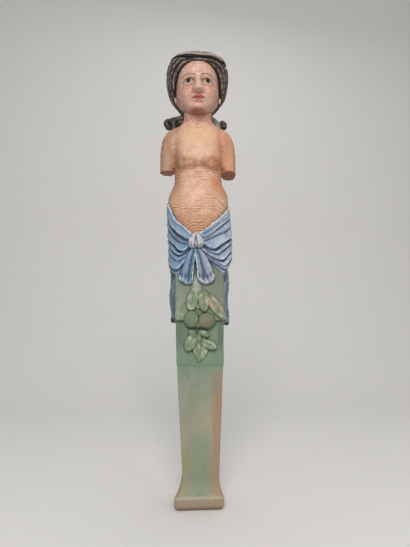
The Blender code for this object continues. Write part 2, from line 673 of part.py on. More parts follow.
def knot(mesh):
    """The knot: gathers bundled at the top, fanning out below, with a cleft in the middle."""
    for centre, radii in (((-5.6, -38, 60), (10.0, 8.0, 10.0)), ((-5.6, -35, 66), (7.0, 6.5, 8.0))):
        ball(mesh, centre, radii)
    # Places across at the top and at the bottom, radius, and how far it stands out
    for upper, lower, radius, lift in (
        (-10.4, -15.0, 2.3, 0.0),
        (-8.0, -10.6, 2.8, 1.6),
        (-5.4, -5.6, 2.0, -1.4),
        (-2.6, -0.6, 2.9, 1.6),
        (-0.6, 3.6, 2.3, 0.0),
    ):
        gather = [
            ((upper - 5.6) / 2, -37, 72 + lift * 0.6, radius * 0.7),
            (upper, -43.5 - lift * 0.4, 67, radius * 0.8),
            (lower * 0.85 + upper * 0.15, -46.4 - lift * 0.5, 60, radius),
            (lower, -45.4 - lift * 0.4, 54.5, radius),
            (lower * 0.6 + upper * 0.4, -39, 49.5, radius * 0.7),
        ]
        tubes(mesh, [gather])


def tail(mesh, top, left, right, waves, edge, dip):
    """One end of the cloth: it spreads from top to a ruffled hem from left to right."""
    t = np.linspace(0, 1, 24)[:, None]
    s = np.linspace(-1, 1, 41)[None, :]
    wave = np.cos(math.pi * waves * (s - edge))
    hem_x = left[0] + (right[0] - left[0]) * (s + 1) / 2
    hem_z = left[1] + (right[1] - left[1]) * (s + 1) / 2 + 0.8 * wave
    hem_z = hem_z - dip * np.sqrt(np.clip(1 - s * s, 0, 1))
    spread = t**0.7
    x = (top[0] + 4 * s) * (1 - spread) + hem_x * spread
    z = top[1] + (hem_z - top[1]) * t
    rise = 4.4 + 2.4 * np.sin(math.pi * (0.15 + 0.75 * t)) + (0.8 + 0.9 * t) * wave
    rise = rise + 1.6 * bell(s - edge, 0.2) + 1.4 * bell(t - 0.93, 0.06)
    front = np.stack((x, -35 - rise, z), axis=-1)
    behind = np.stack((x, 0 * x - 30, z), axis=-1)
    sheet(mesh, on_figure(front), on_figure(behind))


def tails(mesh):
    """The two ends of the cloth fan out below the knot."""
    tail(mesh, (-9, 47), (-33, -1), (-11, -7), 1.5, 0.9, 4.0)
    tail(mesh, (-4.5, 47), (-4, 1), (24.5, 2), 1.2, -0.86, 10.0)


def side_fall(mesh, side, foot, wide):
    """The cloth falls down a flank of the block, in thin uneven pleats."""
    t = np.linspace(0, 1, 40)[:, None]
    y = np.linspace(-17, 38, 50)[None, :]
    lower = foot + 2.5 * np.sin(0.31 * y + side) + 1.5 * np.sin(0.83 * y)
    z = lower + (38 - lower) * t
    wander = 2.2 * np.sin(z / 13.0 + side) + 1.4 * np.sin(z / 6.1)
    pleat = 1.4 * np.cos((y + wander) * 0.72) + 0.6 * np.cos((y - wander) * 1.31 + side)
    out = wide + pleat + 1.1 * np.sin(z / 9.0 + 2 * side) - 1.2 * smooth(0.25, 0.0, t)
    out = out - (wide - 38) * bell(y + 17, 2.6)
    front = np.stack((side * out, y + 0 * z, z), axis=-1)
    behind = np.stack((side * 36 + 0 * out, y + 0 * z, z), axis=-1)
    sheet(mesh, on_figure(front), on_figure(behind))


def side_falls(mesh):
    """The cloth falls down each flank of the block."""
    side_fall(mesh, -1, -64, 45.6)
    side_fall(mesh, 1, -69, 46.4)


def blank(name, forms):
    """An object of its own for the forms that share one paint."""
    mesh = bmesh.new()
    for form, *settings in forms:
        form(mesh, *settings)
    data = bpy.data.meshes.new(name)
    mesh.to_mesh(data)
    mesh.free()
    return data


def box_cutter(name, low, high, collection):
    mesh = bmesh.new()
    bmesh.ops.create_cube(mesh, size=1.0)
    for v in mesh.verts:
        v.co = [low[k] if v.co[k] < 0 else high[k] for k in range(3)]
    data = bpy.data.meshes.new(name)
    mesh.to_mesh(data)
    mesh.free()
    cutter = bpy.data.objects.new(name, data)
    cutter.hide_render = True
    cutter.display_type = "WIRE"
    collection.objects.link(cutter)
    return cutter


def close_skin(rough, cutters):
    """Closes the joined blanks into one skin, thins it and cuts it flat."""
    skin = rough.modifiers.new("skin", "REMESH")
    skin.mode = "VOXEL"
    skin.voxel_size = SKIN_CELL
    soften = rough.modifiers.new("soften", "SMOOTH")
    soften.factor = 0.5
    soften.iterations = SKIN_SMOOTHING
    graph = bpy.context.evaluated_depsgraph_get()
    quads = len(rough.evaluated_get(graph).data.polygons)
    thin = rough.modifiers.new("thin", "DECIMATE")
    thin.ratio = min(1.0, SKIN_TRIANGLES / (2 * quads))
    for cutter in cutters:
        cut = rough.modifiers.new(cutter.name, "BOOLEAN")
        cut.operation = "DIFFERENCE"
        cut.object = cutter
    graph = bpy.context.evaluated_depsgraph_get()
    return bpy.data.meshes.new_from_object(rough.evaluated_get(graph))


def paint(skin, blanks):
    """Gives each face the paint of the blank that it came from."""
    for name, colour, roughness in PAINTS:
        coat = bpy.data.materials.new(name)
        coat.use_nodes = True
        shader = coat.node_tree.nodes["Principled BSDF"]
        shader.inputs["Base Color"].default_value = (*colour, 1.0)
        shader.inputs["Roughness"].default_value = roughness
        shader.inputs["Metallic"].default_value = 0.0
        skin.materials.append(coat)
    trees = []
    for data, coat in blanks:
        mesh = bmesh.new()
        mesh.from_mesh(data)
        trees.append((BVHTree.FromBMesh(mesh), coat))
        mesh.free()
    for facet in skin.polygons:
        near = [(tree.find_nearest(facet.center)[3], coat) for tree, coat in trees]
        coat = min(near)[1]
        flat = facet.center.y > BACK - SAWN_NEAR or facet.center.z < SAWN_NEAR
        beside = abs(facet.center.x) > ARM_INNER * UNIT
        arm_end = coat == FLESH and beside and facet.normal.z < -SAWN_TURN
        facet.material_index = WOOD if flat or arm_end else coat


def main():
    clear_scene()
    work = bpy.data.collections.new(NAME)
    helpers = bpy.data.collections.new("cutters")
    for collection in (work, helpers):
        bpy.context.scene.collection.children.link(collection)
    blanks = (
        (blank("pilaster", ((pilaster,), (ornament,))), GREEN),
        (blank("body", ((body,),)), FLESH),
        (blank("face", ((face,),)), FACE),
        (blank("hair", ((hair,),)), HAIR),
        (blank("cloth", ((cloth,), (knot,), (tails,), (side_falls,))), CLOTH),
    )
    together = bmesh.new()
    for data, _ in blanks:
        together.from_mesh(data)
    rough_mesh = bpy.data.meshes.new("rough")
    together.to_mesh(rough_mesh)
    together.free()
    rough = bpy.data.objects.new("rough", rough_mesh)
    rough.hide_render = True
    helpers.objects.link(rough)
    far = CUTTER_REACH
    cutters = (
        box_cutter("back_cut", (-far, BACK, -far), (far, far, 2 * far), helpers),
        box_cutter("floor_cut", (-far, -far, -far), (far, far, 0.0), helpers),
    )
    skin = close_skin(rough, cutters)
    skin.name = NAME
    paint(skin, blanks)
    work.objects.link(bpy.data.objects.new(NAME, skin))
    bpy.data.objects.remove(rough, do_unlink=True)


main()
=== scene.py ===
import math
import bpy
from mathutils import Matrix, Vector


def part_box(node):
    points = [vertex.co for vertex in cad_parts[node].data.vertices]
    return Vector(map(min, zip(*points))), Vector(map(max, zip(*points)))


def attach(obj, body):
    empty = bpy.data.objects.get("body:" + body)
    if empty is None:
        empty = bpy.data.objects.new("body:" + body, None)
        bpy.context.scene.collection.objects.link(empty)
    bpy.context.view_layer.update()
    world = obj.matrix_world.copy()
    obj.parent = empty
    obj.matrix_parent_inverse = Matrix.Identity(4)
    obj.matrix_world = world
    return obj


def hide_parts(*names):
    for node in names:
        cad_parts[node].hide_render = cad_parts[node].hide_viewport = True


bl_info = {
    "name": "Painted Term Figure",
    "version": (1, 0, 0),
    "blender": (4, 5, 0),
    "location": "3D View > Sidebar > Term Figure",
    "description": "Carves and paints an old wooden term figure round its solid, and lights it",
    "category": "Object",
}

import bpy
import numpy as np
from bpy.props import FloatProperty, FloatVectorProperty, IntProperty, PointerProperty
from mathutils import Matrix, Vector

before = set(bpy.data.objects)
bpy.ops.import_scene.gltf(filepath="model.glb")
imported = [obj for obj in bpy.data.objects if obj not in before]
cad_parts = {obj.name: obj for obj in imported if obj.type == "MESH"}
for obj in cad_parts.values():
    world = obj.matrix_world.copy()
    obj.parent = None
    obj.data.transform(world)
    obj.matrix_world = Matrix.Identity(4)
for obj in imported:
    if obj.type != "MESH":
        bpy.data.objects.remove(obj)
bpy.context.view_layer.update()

NODE = "carved_figure"
LOW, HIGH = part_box(NODE)
DESIGN_HEIGHT = 746.0  # the height that the carving below is laid out for, in its millimetres
MM = (HIGH.z - LOW.z) / DESIGN_HEIGHT
BACK = HIGH.y / MM
PAINTS = ("flesh", "face", "hair", "cloth", "hem", "green", "leaf", "fruit")

# Heights over the floor and depths from the back, in the design's millimetres
FLARE = 28  # from the foot's band to the plain shaft
PANEL_BASE = 208
BLOCK_BASE = 276.0
BLOCK_TOP = 368.0
FIGURE_BASE = 340.0
SHAFT_DEPTH = 60
PANEL_DEPTH = 63.1
BLOCK_DEPTH = 69
LEDGE = 0.4  # how sharply the panel and the block step out

# Rounds of softening that the skin, its paints and its armpits get
SKIN_ROUNDS = 3
PAINT_ROUNDS = 2
ARMPIT_ROUNDS = 60
FLAT_REACH = 0.5  # skin this near the back or the floor is laid flat
ARM_INNER = 38.0  # the sawn ends of the arms lie this far out


def linear(red, green, blue):
    """A colour given as 0 to 255 screen values, as the shader reads it."""
    out = []
    for part in (red, green, blue):
        share = part / 255
        out.append(share / 12.92 if share <= 0.04045 else ((share + 0.055) / 1.055) ** 2.4)
    return tuple(out)


def size_property(name, description, millimetres):
    """A size, given in millimetres of the design."""
    return FloatProperty(
        name=name,
        description=description,
        default=millimetres * MM,
        min=0.0,
        unit="LENGTH",
        subtype="DISTANCE",
    )


def colour_property(name, description, *screen):
    """A colour, given as 0 to 255 screen values."""
    return FloatVectorProperty(
        name=name,
        description=description,
        default=linear(*screen),
        size=3,
        min=0.0,
        max=1.0,
        subtype="COLOR",
    )


class TermSizes(bpy.types.PropertyGroup):
    """How finely and how deeply the wood is carved."""

    cell: size_property("Cell", "Spacing of the closed skin's points before it is thinned", 0.85)
    triangles: IntProperty(
        name="Triangles",
        description="How many triangles the finished skin has",
        default=190000,
        min=20000,
        max=198000,
    )
    lock_depth: size_property("Lock depth", "Depth of the grooves between locks of hair", 2.7)
    lock_width: size_property("Lock width", "Width of a lock of hair", 7.6)
    strand_depth: size_property("Strand depth", "Depth of the strands cut into each lock", 0.7)
    tool_depth: size_property("Tool mark depth", "Depth of the chisel marks on the flesh", 0.42)
    foot_width: size_property("Foot width", "Width of the flared foot", 76.5)
    foot_band: size_property("Foot band", "Height of the foot's upright band", 17)
    shaft_width: size_property("Shaft width", "Width of the shaft just over the foot", 55)
    shaft_top_width: size_property("Shaft top width", "Width of the shaft under the panel", 71.4)
    block_width: size_property("Block width", "Width of the block behind the leaves", 76.4)


class TermColours(bpy.types.PropertyGroup):
    """The old paints, and the wood under them."""

    flesh: colour_property("Flesh", "Body paint", 208, 170, 146)
    # Painted shade of the body, laid in its hollows
    flesh_shade: colour_property("Warm flesh", "Body paint in the hollows", 170, 114, 84)
    face: colour_property("Face", "Face paint", 191, 152, 138)
    blush: colour_property("Blush", "Cheeks", 198, 124, 110)
    lips: colour_property("Lips", "Lips", 168, 78, 66)
    line: colour_property("Line", "Brows, lashes and the rims of the eyes", 62, 42, 36)
    eye_white: colour_property("Eye white", "Whites of the eyes", 172, 160, 148)
    iris: colour_property("Iris", "Irises of the eyes", 48, 44, 44)
    # The hair's colour in its grooves is painted shade
    hair: colour_property("Hair", "Hair in its grooves", 30, 23, 21)
    # Painted highlight, dry-brushed on the tops of the locks
    hair_highlight: colour_property("Hair highlight", "Painted highlight, dry-brushed on the tops of the locks", 148, 138, 128)
    cloth: colour_property("Cloth", "Blue of the cloth", 84, 119, 154)
    # Painted highlight on the tops of the folds
    cloth_highlight: colour_property("Light cloth", "Tops of the folds", 204, 212, 222)
    # Painted shade in the hollows of the folds
    cloth_shade: colour_property("Dark cloth", "Hollows of the folds", 36, 52, 80)
    hem: colour_property("Hem", "Rolled edge and knot", 196, 194, 196)
    green: colour_property("Green", "Paint of the pilaster", 112, 128, 110)
    # Painted shade of the green in its hollows
    green_shade: colour_property("Dark green", "Green in the hollows", 52, 74, 50)
    # Painted highlight on the edges of the leaves
    leaf_highlight: colour_property("Light leaf", "Edges of the leaves", 178, 176, 148)
    olive: colour_property("Olive", "Browner green of the right side and the foot", 142, 128, 98)
    wood: colour_property("Wood", "Bare wood where the paint is lost", 112, 74, 52)
    end_grain: colour_property("Sawn ends", "Sawn ends of the arms", 140, 92, 68)


class TermStudio(bpy.types.PropertyGroup):
    """The floor, the lamps and the view."""

    distance: size_property("Camera distance", "From the camera to the middle of the figure", 671)
    eye_height: size_property("Camera height", "Height of the camera over the floor", 262)
    sideways: FloatProperty(
        name="Camera sideways",
        description="How far the camera stands to the right of the figure",
        default=-24 * MM,
        unit="LENGTH",
        subtype="DISTANCE",
    )
    pitch: FloatProperty(
        name="Camera pitch", description="Upward tilt", default=math.radians(7.75), subtype="ANGLE"
    )
    turn: FloatProperty(
        name="Camera turn", description="Turn to the right", default=math.radians(2.92), subtype="ANGLE"
    )
    roll: FloatProperty(
        name="Camera roll", description="Lean to the right", default=math.radians(0.53), subtype="ANGLE"
    )
    floor: colour_property("Floor", "Colour of the floor and backdrop", 226, 224, 220)


# Shapes of numbers


def smooth(low, high, value):
    """Rises from 0 at low to 1 at high, or falls where low is over high."""
    share = np.clip((value - low) / (high - low), 0.0, 1.0)
    return share * share * (3 - 2 * share)


def bell(distance, width):
    """A smooth bump that is 1 in the middle and fades over the width."""
    return np.exp(-((distance / width) ** 2))


def through(rows, at):
    """Reads rows of (place, value, value...) on a smooth curve, at each of the places."""
    rows = np.asarray(rows, float)
    place, value = rows[:, 0], rows[:, 1:]
    slope = np.zeros_like(value)
    slope[1:-1] = (value[2:] - value[:-2]) / (place[2:] - place[:-2])[:, None]
    at = np.clip(at, place[0], place[-1])
    i = np.clip(np.searchsorted(place, at) - 1, 0, len(place) - 2)
    span = (place[i + 1] - place[i])[:, None]
    t = (at[:, None] - place[i][:, None]) / span
    a, b = value[i], value[i + 1]
    slope_a, slope_b = slope[i] * span, slope[i + 1] * span
    rise = b - a
    return a + t * (slope_a + t * ((3 * rise - 2 * slope_a - slope_b) + t * (slope_a + slope_b - 2 * rise)))


def noise(points, scale, seed):
    """Smooth random values from -1 to 1, with bumps about one scale apart."""
    cell = points / np.asarray(scale, float)
    whole = np.floor(cell).astype(np.int64)
    share = cell - whole
    share = share * share * (3 - 2 * share)
    total = np.zeros(len(points))
    for corner in range(8):
        step = np.array([corner & 1, corner >> 1 & 1, corner >> 2 & 1])
        weight = np.prod(np.where(step, share, 1 - share), axis=1)
        key = (whole + step) @ np.array([374761393, 668265263, 1440662683]) + seed * 2654435761
        key = (key ^ (key >> 13)) * 1274126177
        key = key ^ (key >> 16)
        total += weight * ((key & 0xFFFF) / 32767.5 - 1)
    return total


# The rough blanks, in millimetres


class Blanks:
    """The rough forms, each with the paint it will carry, before they become one skin.

    light and dark say, point by point, where painted highlights and painted shade go on the form.
    """

    def __init__(self):
        self.points, self.faces, self.count = [], [], 0
        self.paint, self.light, self.dark = [], [], []

    def loft(self, rings, paint, light=None, dark=None):
        """A closed skin over rings, given as rows of points, closed at both ends."""
        rings = np.array(rings, float)
        rings[..., 1] = np.minimum(rings[..., 1], BACK)
        rows, columns, _ = rings.shape
        index = np.arange(rows * columns).reshape(rows, columns) + self.count
        beside = np.roll(index, -1, axis=1)
        quads = np.stack((index[:-1], beside[:-1], beside[1:], index[1:]), axis=-1).reshape(-1, 4)
        first, last = self.count + rows * columns, self.count + rows * columns + 1
        low = np.stack((beside[0], index[0], np.full(columns, first)), axis=-1)
        high = np.stack((index[-1], beside[-1], np.full(columns, last)), axis=-1)
        self.points.append(np.concatenate((rings.reshape(-1, 3), rings[[0, -1]].mean(axis=1))))
        self.faces.extend(quads.tolist() + low.tolist() + high.tolist())
        self.count += rows * columns + 2
        self.paint.append(np.full(rows * columns + 2, PAINTS.index(paint)))
        for store, value in ((self.light, light), (self.dark, dark)):
            value = np.zeros((rows, columns)) if value is None else value
            store.append(np.append(np.broadcast_to(value, (rows, columns)).ravel(), (0.0, 0.0)))

    def ball(self, centre, radii, paint, tilt=0.0):
        """An egg, tilted in the front view."""
        up = np.linspace(-math.pi / 2, math.pi / 2, 34)[1:-1, None]
        round_ = np.linspace(0, 2 * math.pi, 56, endpoint=False)[None, :]
        x = np.cos(up) * np.cos(round_) * radii[0]
        y = np.cos(up) * np.sin(round_) * radii[1]
        z = np.sin(up) * radii[2] + 0 * round_
        c, s = math.cos(math.radians(tilt)), math.sin(math.radians(tilt))
        ring = np.stack((centre[0] + x * c - z * s, centre[1] + y, centre[2] + x * s + z * c), axis=-1)
        # The upper side carries a painted highlight
        self.loft(ring, paint, light=0.7 * smooth(0.45, 0.95, np.sin(up) + 0 * round_))

    def roll(self, route, paint, flutes=0, flute_depth=0.0):
        """A roll of wood along a route of (x, y, z, radius) rows."""
        route = np.asarray(route, float)
        reach = np.concatenate(([0], np.cumsum(np.linalg.norm(np.diff(route[:, :3], axis=0), axis=1))))
        at = np.linspace(0, reach[-1], max(8, int(reach[-1] / 1.2)))
        line = through(np.column_stack((reach, route)), at)
        centre, radius = line[:, :3], line[:, 3].copy()
        to_end = np.minimum(at, reach[-1] - at)
        radius *= np.sqrt(np.clip(1 - (1 - np.clip(to_end / radius, 0.05, 1)) ** 2, 0.02, 1))
        along = np.gradient(centre, axis=0)
        along /= np.linalg.norm(along, axis=1)[:, None]
        side = np.cross(along, (0.0, 1.0, 0.0))
        side /= np.maximum(np.linalg.norm(side, axis=1), 1e-6)[:, None]
        out = np.cross(side, along)
        turn = np.linspace(0, 2 * math.pi, 28, endpoint=False)
        swell = (1 + flute_depth * np.cos(flutes * turn)) * radius[:, None]
        across, ahead = (np.cos(turn) * swell)[..., None], (np.sin(turn) * swell)[..., None]
        ring = centre[:, None] + side[:, None] * across + out[:, None] * ahead
        # The side that faces forward carries a painted highlight, the side away from it painted shade
        crest = smooth(0.25, 0.9, -(ahead * out[:, None])[..., 1] / radius[:, None])
        self.loft(ring, paint, light=crest, dark=smooth(0.4, 0.0, crest) * 0.4)

    def sheet(self, front, back, paint, light=None, dark=None):
        """A closed sheet between two grids of points of one shape."""
        touches = []
        for value in (light, dark):
            touches.append(None if value is None else np.concatenate((value, value[:, ::-1]), axis=1))
        self.loft(np.concatenate((front, back[:, ::-1]), axis=1), paint, *touches)


def ovals(width, front, back, power, count):
    """x and y round rounded sections, a row for each width."""
    turn = np.linspace(0, 2 * math.pi, count, endpoint=False)[None, :]
    c, s = np.cos(turn), np.sin(turn)
    width, front, back = width[:, None], front[:, None], back[:, None]
    x = np.sign(c) * np.abs(c) ** (2 / power) * width
    y = (front + back) / 2 + np.sign(s) * np.abs(s) ** (2 / power) * (back - front) / 2
    return x, y


def board(half, front, back, scoop=0.0, radius=1.5):
    """x and y round a board with rounded arrises, its front hollowed by scoop."""
    turn = np.linspace(0, 2 * math.pi, 280, endpoint=False)
    c, s = np.cos(turn), np.sin(turn)
    depth = (back - front) / 2
    grow = 1 / np.maximum(np.abs(c), np.abs(s))
    x, y = c * grow * half, s * grow * depth
    inner_x, inner_y = half - radius, depth - radius
    over_x, over_y = np.maximum(np.abs(x) - inner_x, 0), np.maximum(np.abs(y) - inner_y, 0)
    corner = (over_x > 0) & (over_y > 0)
    length = np.maximum(np.hypot(over_x, over_y), 1e-9)
    x = np.where(corner, np.sign(x) * (inner_x + over_x / length * radius), x)
    y = np.where(corner, np.sign(y) * (inner_y + over_y / length * radius), y)
    front_side = s < -np.abs(c) * 0.999
    hollow = np.clip(1 - (x / half) ** 2, 0, 1) ** 2 * scoop
    return x, y + (front + back) / 2 + np.where(front_side, hollow, 0.0)


def pilaster(blanks, sizes):
    """The flared foot, the tapering shaft, the hollow panel and the block."""
    foot, shaft = sizes.foot_width / MM / 2, sizes.shaft_width / MM / 2
    shaft_top, block = sizes.shaft_top_width / MM / 2, sizes.block_width / MM / 2
    band = sizes.foot_band / MM
    rings = []

    def ring(z, half, depth, scoop=0.0, spread=0.0, inset=0.0):
        # The foot's flare fades towards the back, and its front corners are round
        x, y = board(half, BACK - depth, BACK + 3, scoop, 1.5 + 4.5 * spread)
        behind = np.clip((y - (BACK - depth)) / depth, 0, 1)
        overhang = (foot - shaft - 0.6) * spread
        x = x - np.sign(x) * overhang * (1 - (1 - behind) ** 1.6)
        rings.append(np.stack((x * (1 - inset) - 3.0 * spread, y, np.full_like(x, z)), axis=-1))

    for z in np.linspace(0, band * 0.5, 7):
        inset = 4.5 * (1 - z / (band * 0.5)) ** 2
        ring(z, foot - inset, BLOCK_DEPTH - inset, spread=1.0)
    ring(band, foot, BLOCK_DEPTH, spread=1.0)
    for share in np.linspace(0, 1, 24)[1:]:
        spread = (1 - share) ** 2.3
        depth = SHAFT_DEPTH + (BLOCK_DEPTH - SHAFT_DEPTH) * spread
        ring(band + share * FLARE, shaft + (foot - shaft) * spread, depth, spread=spread)
    for share in np.linspace(0, 1, 20)[1:]:
        z = band + FLARE + (PANEL_BASE - LEDGE - band - FLARE) * share
        ring(z, shaft + (shaft_top - shaft) * share, SHAFT_DEPTH + 2.2 * share)
    panel, panel_top = shaft_top + 0.9, 37.2
    height = BLOCK_BASE - PANEL_BASE - LEDGE
    for share in np.linspace(0, 1, 24):
        scoop = 3.4 * smooth(0.05, 0.8, share)
        ring(PANEL_BASE + share * height, panel + (panel_top - panel) * share, PANEL_DEPTH, scoop)
    for z in np.linspace(BLOCK_BASE, BLOCK_TOP, 8):
        ring(z, block, BLOCK_DEPTH)
    blanks.loft(rings, "green")


def leaf(blanks, base, tip, width, rise, lift, blunt, paint="leaf"):
    """A leaf on the block or the panel, with a sunk midrib and side veins.

    x and z are measured from the block's lower edge, y from the block's front.
    """
    base, tip = np.array(base, float), np.array(tip, float)
    along = tip - base
    across = np.array([along[2], 0, -along[0]]) / np.hypot(along[0], along[2])
    t = np.linspace(0, 1, 60)[:, None]
    s = np.linspace(-1, 1, 41)[None, :]
    swell = np.sin(math.pi * np.minimum(1.0, t * 0.62 + 0.12)) ** 0.8
    taper = (1 - t ** (3.0 + 5 * blunt)) ** (0.75 - 0.3 * blunt)
    half = width / 2 * swell * taper + 0.3
    cup = (1 - s * s) * rise * 0.5 - bell(s, 0.13) * rise * 0.38 + bell(np.abs(s) - 0.93, 0.1) * 0.5
    vein = 0.45 * np.sin(11 * (t * 2.4 - np.abs(s) * 0.9)) * (1 - np.abs(s)) * np.abs(s) * 3.4
    outward = rise + cup + vein + lift * t * t
    spot = base + along * t[..., None] + across * (s * half)[..., None]
    front = spot - np.array([0, 1, 0]) * outward[..., None]
    behind = spot + np.array([0, 4.0, 0]) + 0 * front
    shift = np.array([0, BACK - BLOCK_DEPTH, BLOCK_BASE])
    # Painted highlights on the edges, the tip and the tops of the veins; painted shade along the midrib, at
    # the base and between the veins
    light = bell(np.abs(s) - 0.86, 0.13) * smooth(0.05, 0.3, t) + 0.6 * smooth(0.8, 1.0, t)
    light = light + 0.5 * np.maximum(vein, 0)
    dark = bell(s, 0.12) * smooth(1.0, 0.6, t) + smooth(0.3, 0.0, t) + 0.7 * np.maximum(-vein, 0)
    blanks.sheet(front + shift, behind + shift, paint, np.clip(light, 0, 1), np.clip(dark, 0, 1))


def ornament(blanks):
    """Leaves and buds hang from the block over the panel, round two fruits."""
    # (base, tip, width, rise, lift, bluntness)
    leaves = (
        ((-21, 1, 27), (-37, 1, 1.5), 15, 1.0, 0.5, 0.4),
        ((10, 1, 42), (39.5, 1, 0), 16.5, 3.4, 1.4, 0.1),
        ((-8, 0, 49), (-14.5, 1, 15.5), 16, 3.4, 2.0, 0.9),
        ((-2.5, 0, 49), (-2.5, 1, 17), 9.5, 2.2, 1.0, 0.6),
        ((4, 0, 49), (7, 1, 13.5), 14.5, 4.0, 2.4, 0.9),
        ((-7, 7, -21), (-21.5, 6, -46), 16.5, 3.8, 2.8, 0.5),
        ((1, 7, -32), (26, 6, -42.5), 13, 4.2, 2.8, 0.2),
        ((3.5, 8, -27), (-1.5, 7, -63), 25, 2.6, 1.4, 0.0),
    )
    for settings in leaves:
        leaf(blanks, *settings)
    # (centre, radii, tilt, paint)
    buds = (
        ((-13.0, 2.0, 2.2), (12.3, 7.8, 13.6), 10, "fruit"),
        ((9.8, 2.0, 0.0), (14.6, 7.8, 12.2), 0, "fruit"),
        ((-12, 5.0, -19.0), (6.4, 5.4, 5.0), -30, "leaf"),
        ((6, 5.0, -20.5), (9.0, 6.0, 5.2), -18, "leaf"),
        ((-2, 7.0, -27.0), (4.5, 4.5, 7.0), 0, "green"),
        ((-2, 6.0, -3.0), (9.0, 7.5, 9.0), 0, "green"),
        ((-5.2, 1.0, 56.0), (6.6, 3.6, 9.5), 0, "leaf"),
    )
    shift = np.array([0, BACK - BLOCK_DEPTH, BLOCK_BASE])
    for centre, radii, tilt, paint in buds:
        blanks.ball(np.array(centre) + shift, radii, paint, tilt)
    # Raised rims on the fruits
    for x, z, rx, rz, start, end in ((-13.0, 3.2, 8.6, 9.6, -40, 120), (9.8, 0.4, 10.4, 8.8, -10, 190)):
        turn = np.radians(np.linspace(start, end, 10))
        rim = np.column_stack((x + rx * np.cos(turn), turn * 0 - 3.6, z + rz * np.sin(turn)))
        blanks.roll(np.column_stack((rim + shift, turn * 0 + 1.3)), "fruit")


# The body, in millimetres from the figure's base

LIFT = np.array([0.0, 0.0, FIGURE_BASE])


def bust_line(side):
    """The height of the line under the bust: a low arch in the middle, rising at the armpits."""
    return 183.0 + 6.5 * bell(side, 13.0) + 12.0 * smooth(27.0, 41.0, side)


def torso_relief(x, z):
    """How far the bust and the belly stand out of the trunk."""
    side = np.abs(x)
    line = bust_line(side)
    out = 6.0 * smooth(line - 3.0, line + 6.5, z) * smooth(264, 206, z) * smooth(46, 30, side)
    out = out + 1.7 * bell(side - 21, 14) * bell(z - 203, 17)
    # The belly is full, with a crease under it and a small navel
    out = out + 4.2 * bell(x, 27) * bell(z - 130, 24)
    out = out - 1.5 * bell(z - 110.5 - 0.003 * x * x, 2.8) * bell(x, 22)
    out = out - 0.7 * bell(x, 3.0) * bell(z - 138, 3.0)
    # Collarbones and the notch between them
    bone = z - 257 - 0.10 * (side - 8) - 3.0 * bell(side - 30, 12)
    out = out + 0.9 * bell(bone, 2.8) * smooth(3, 8, side) * smooth(46, 34, side)
    return out - 0.5 * bell(x, 3.6) * bell(z - 260, 5)


def body(blanks):
    """The trunk and neck, and the two sawn arms."""
    # Height, half width, front and back
    trunk = (
        (70, 42, -27, 40),
        (100, 45.5, -29.5, 40),
        (118, 48.4, -30, 40),
        (130, 50.0, -30, 40),
        (138, 50.4, -29, 39),
        (146, 49.2, -28, 36),
        (154, 45.4, -27, 33),
        (163, 41.2, -26.2, 31),
        (174, 39.8, -26.5, 31),
        (190, 40.4, -28, 32.5),
        (206, 42.2, -29, 35),
        (224, 44.5, -28.5, 37),
        (242, 47.5, -26, 38),
        (254, 47.5, -23, 36),
        (262, 43, -20, 32),
        (268, 33, -19, 28),
        (274, 26.8, -20.5, 25),
        (284, 24.3, -23.5, 24),
        (300, 24.4, -25, 24),
        (316, 25, -25, 24),
    )
    z = np.linspace(trunk[0][0], trunk[-1][0], 260)
    width, front, back = through(trunk, z).T
    x, y = ovals(width, front, back, 2.4, 220)
    ahead = smooth(front[:, None] * 0.1, front[:, None] * 0.7, y)
    tall = z[:, None] + 0 * x
    blanks.loft(np.stack((x, y - torso_relief(x, tall) * ahead, tall), axis=-1) + LIFT, "flesh")
    # Each row of an arm: height, centre, half width, half depth
    stump = (
        (186, 52.6, 12.0, 14.0),
        (200, 52.6, 12.4, 14.8),
        (220, 51.2, 13.2, 15.8),
        (236, 48.6, 14.0, 16.5),
        (248, 45.2, 13.8, 16.0),
        (257, 41.0, 12.5, 14.5),
        (265, 35.0, 9.0, 11.0),
    )
    armpit = np.array([(43, -2, 192, 6.0), (43.5, -4, 212, 9.0), (42, -7, 235, 11), (38, -8, 252, 9)])
    # Which arm, how much longer it is, and the slope of its sawn end
    for side, longer, cut_slope in ((-1, -0.5, -0.04), (1, 2.6, 0.24)):
        z = np.linspace(stump[0][0], stump[-1][0], 90)
        centre, half, depth = through(stump, z).T
        x, y = ovals(half, -depth, depth, 2.2, 90)
        slope = cut_slope * np.maximum(0.0, 1 - (z - z[0]) / 30)[:, None]
        tall = z[:, None] - slope * y - longer * smooth(30, 0, z - z[0])[:, None]
        ring = np.stack((side * centre[:, None] + x, y + 3, tall), axis=-1)
        blanks.loft(ring + LIFT, "flesh")
        blanks.roll(armpit * (side, 1, 1, 1) + (0, 0, FIGURE_BASE, 0), "flesh")


# The head

CHIN = 281.5
FACE_SCALE = 0.96  # the face's own units to millimetres
EYE_ACROSS = 16.4
EYE_HALF = 9.0
MOUTH_HALF = 11.5


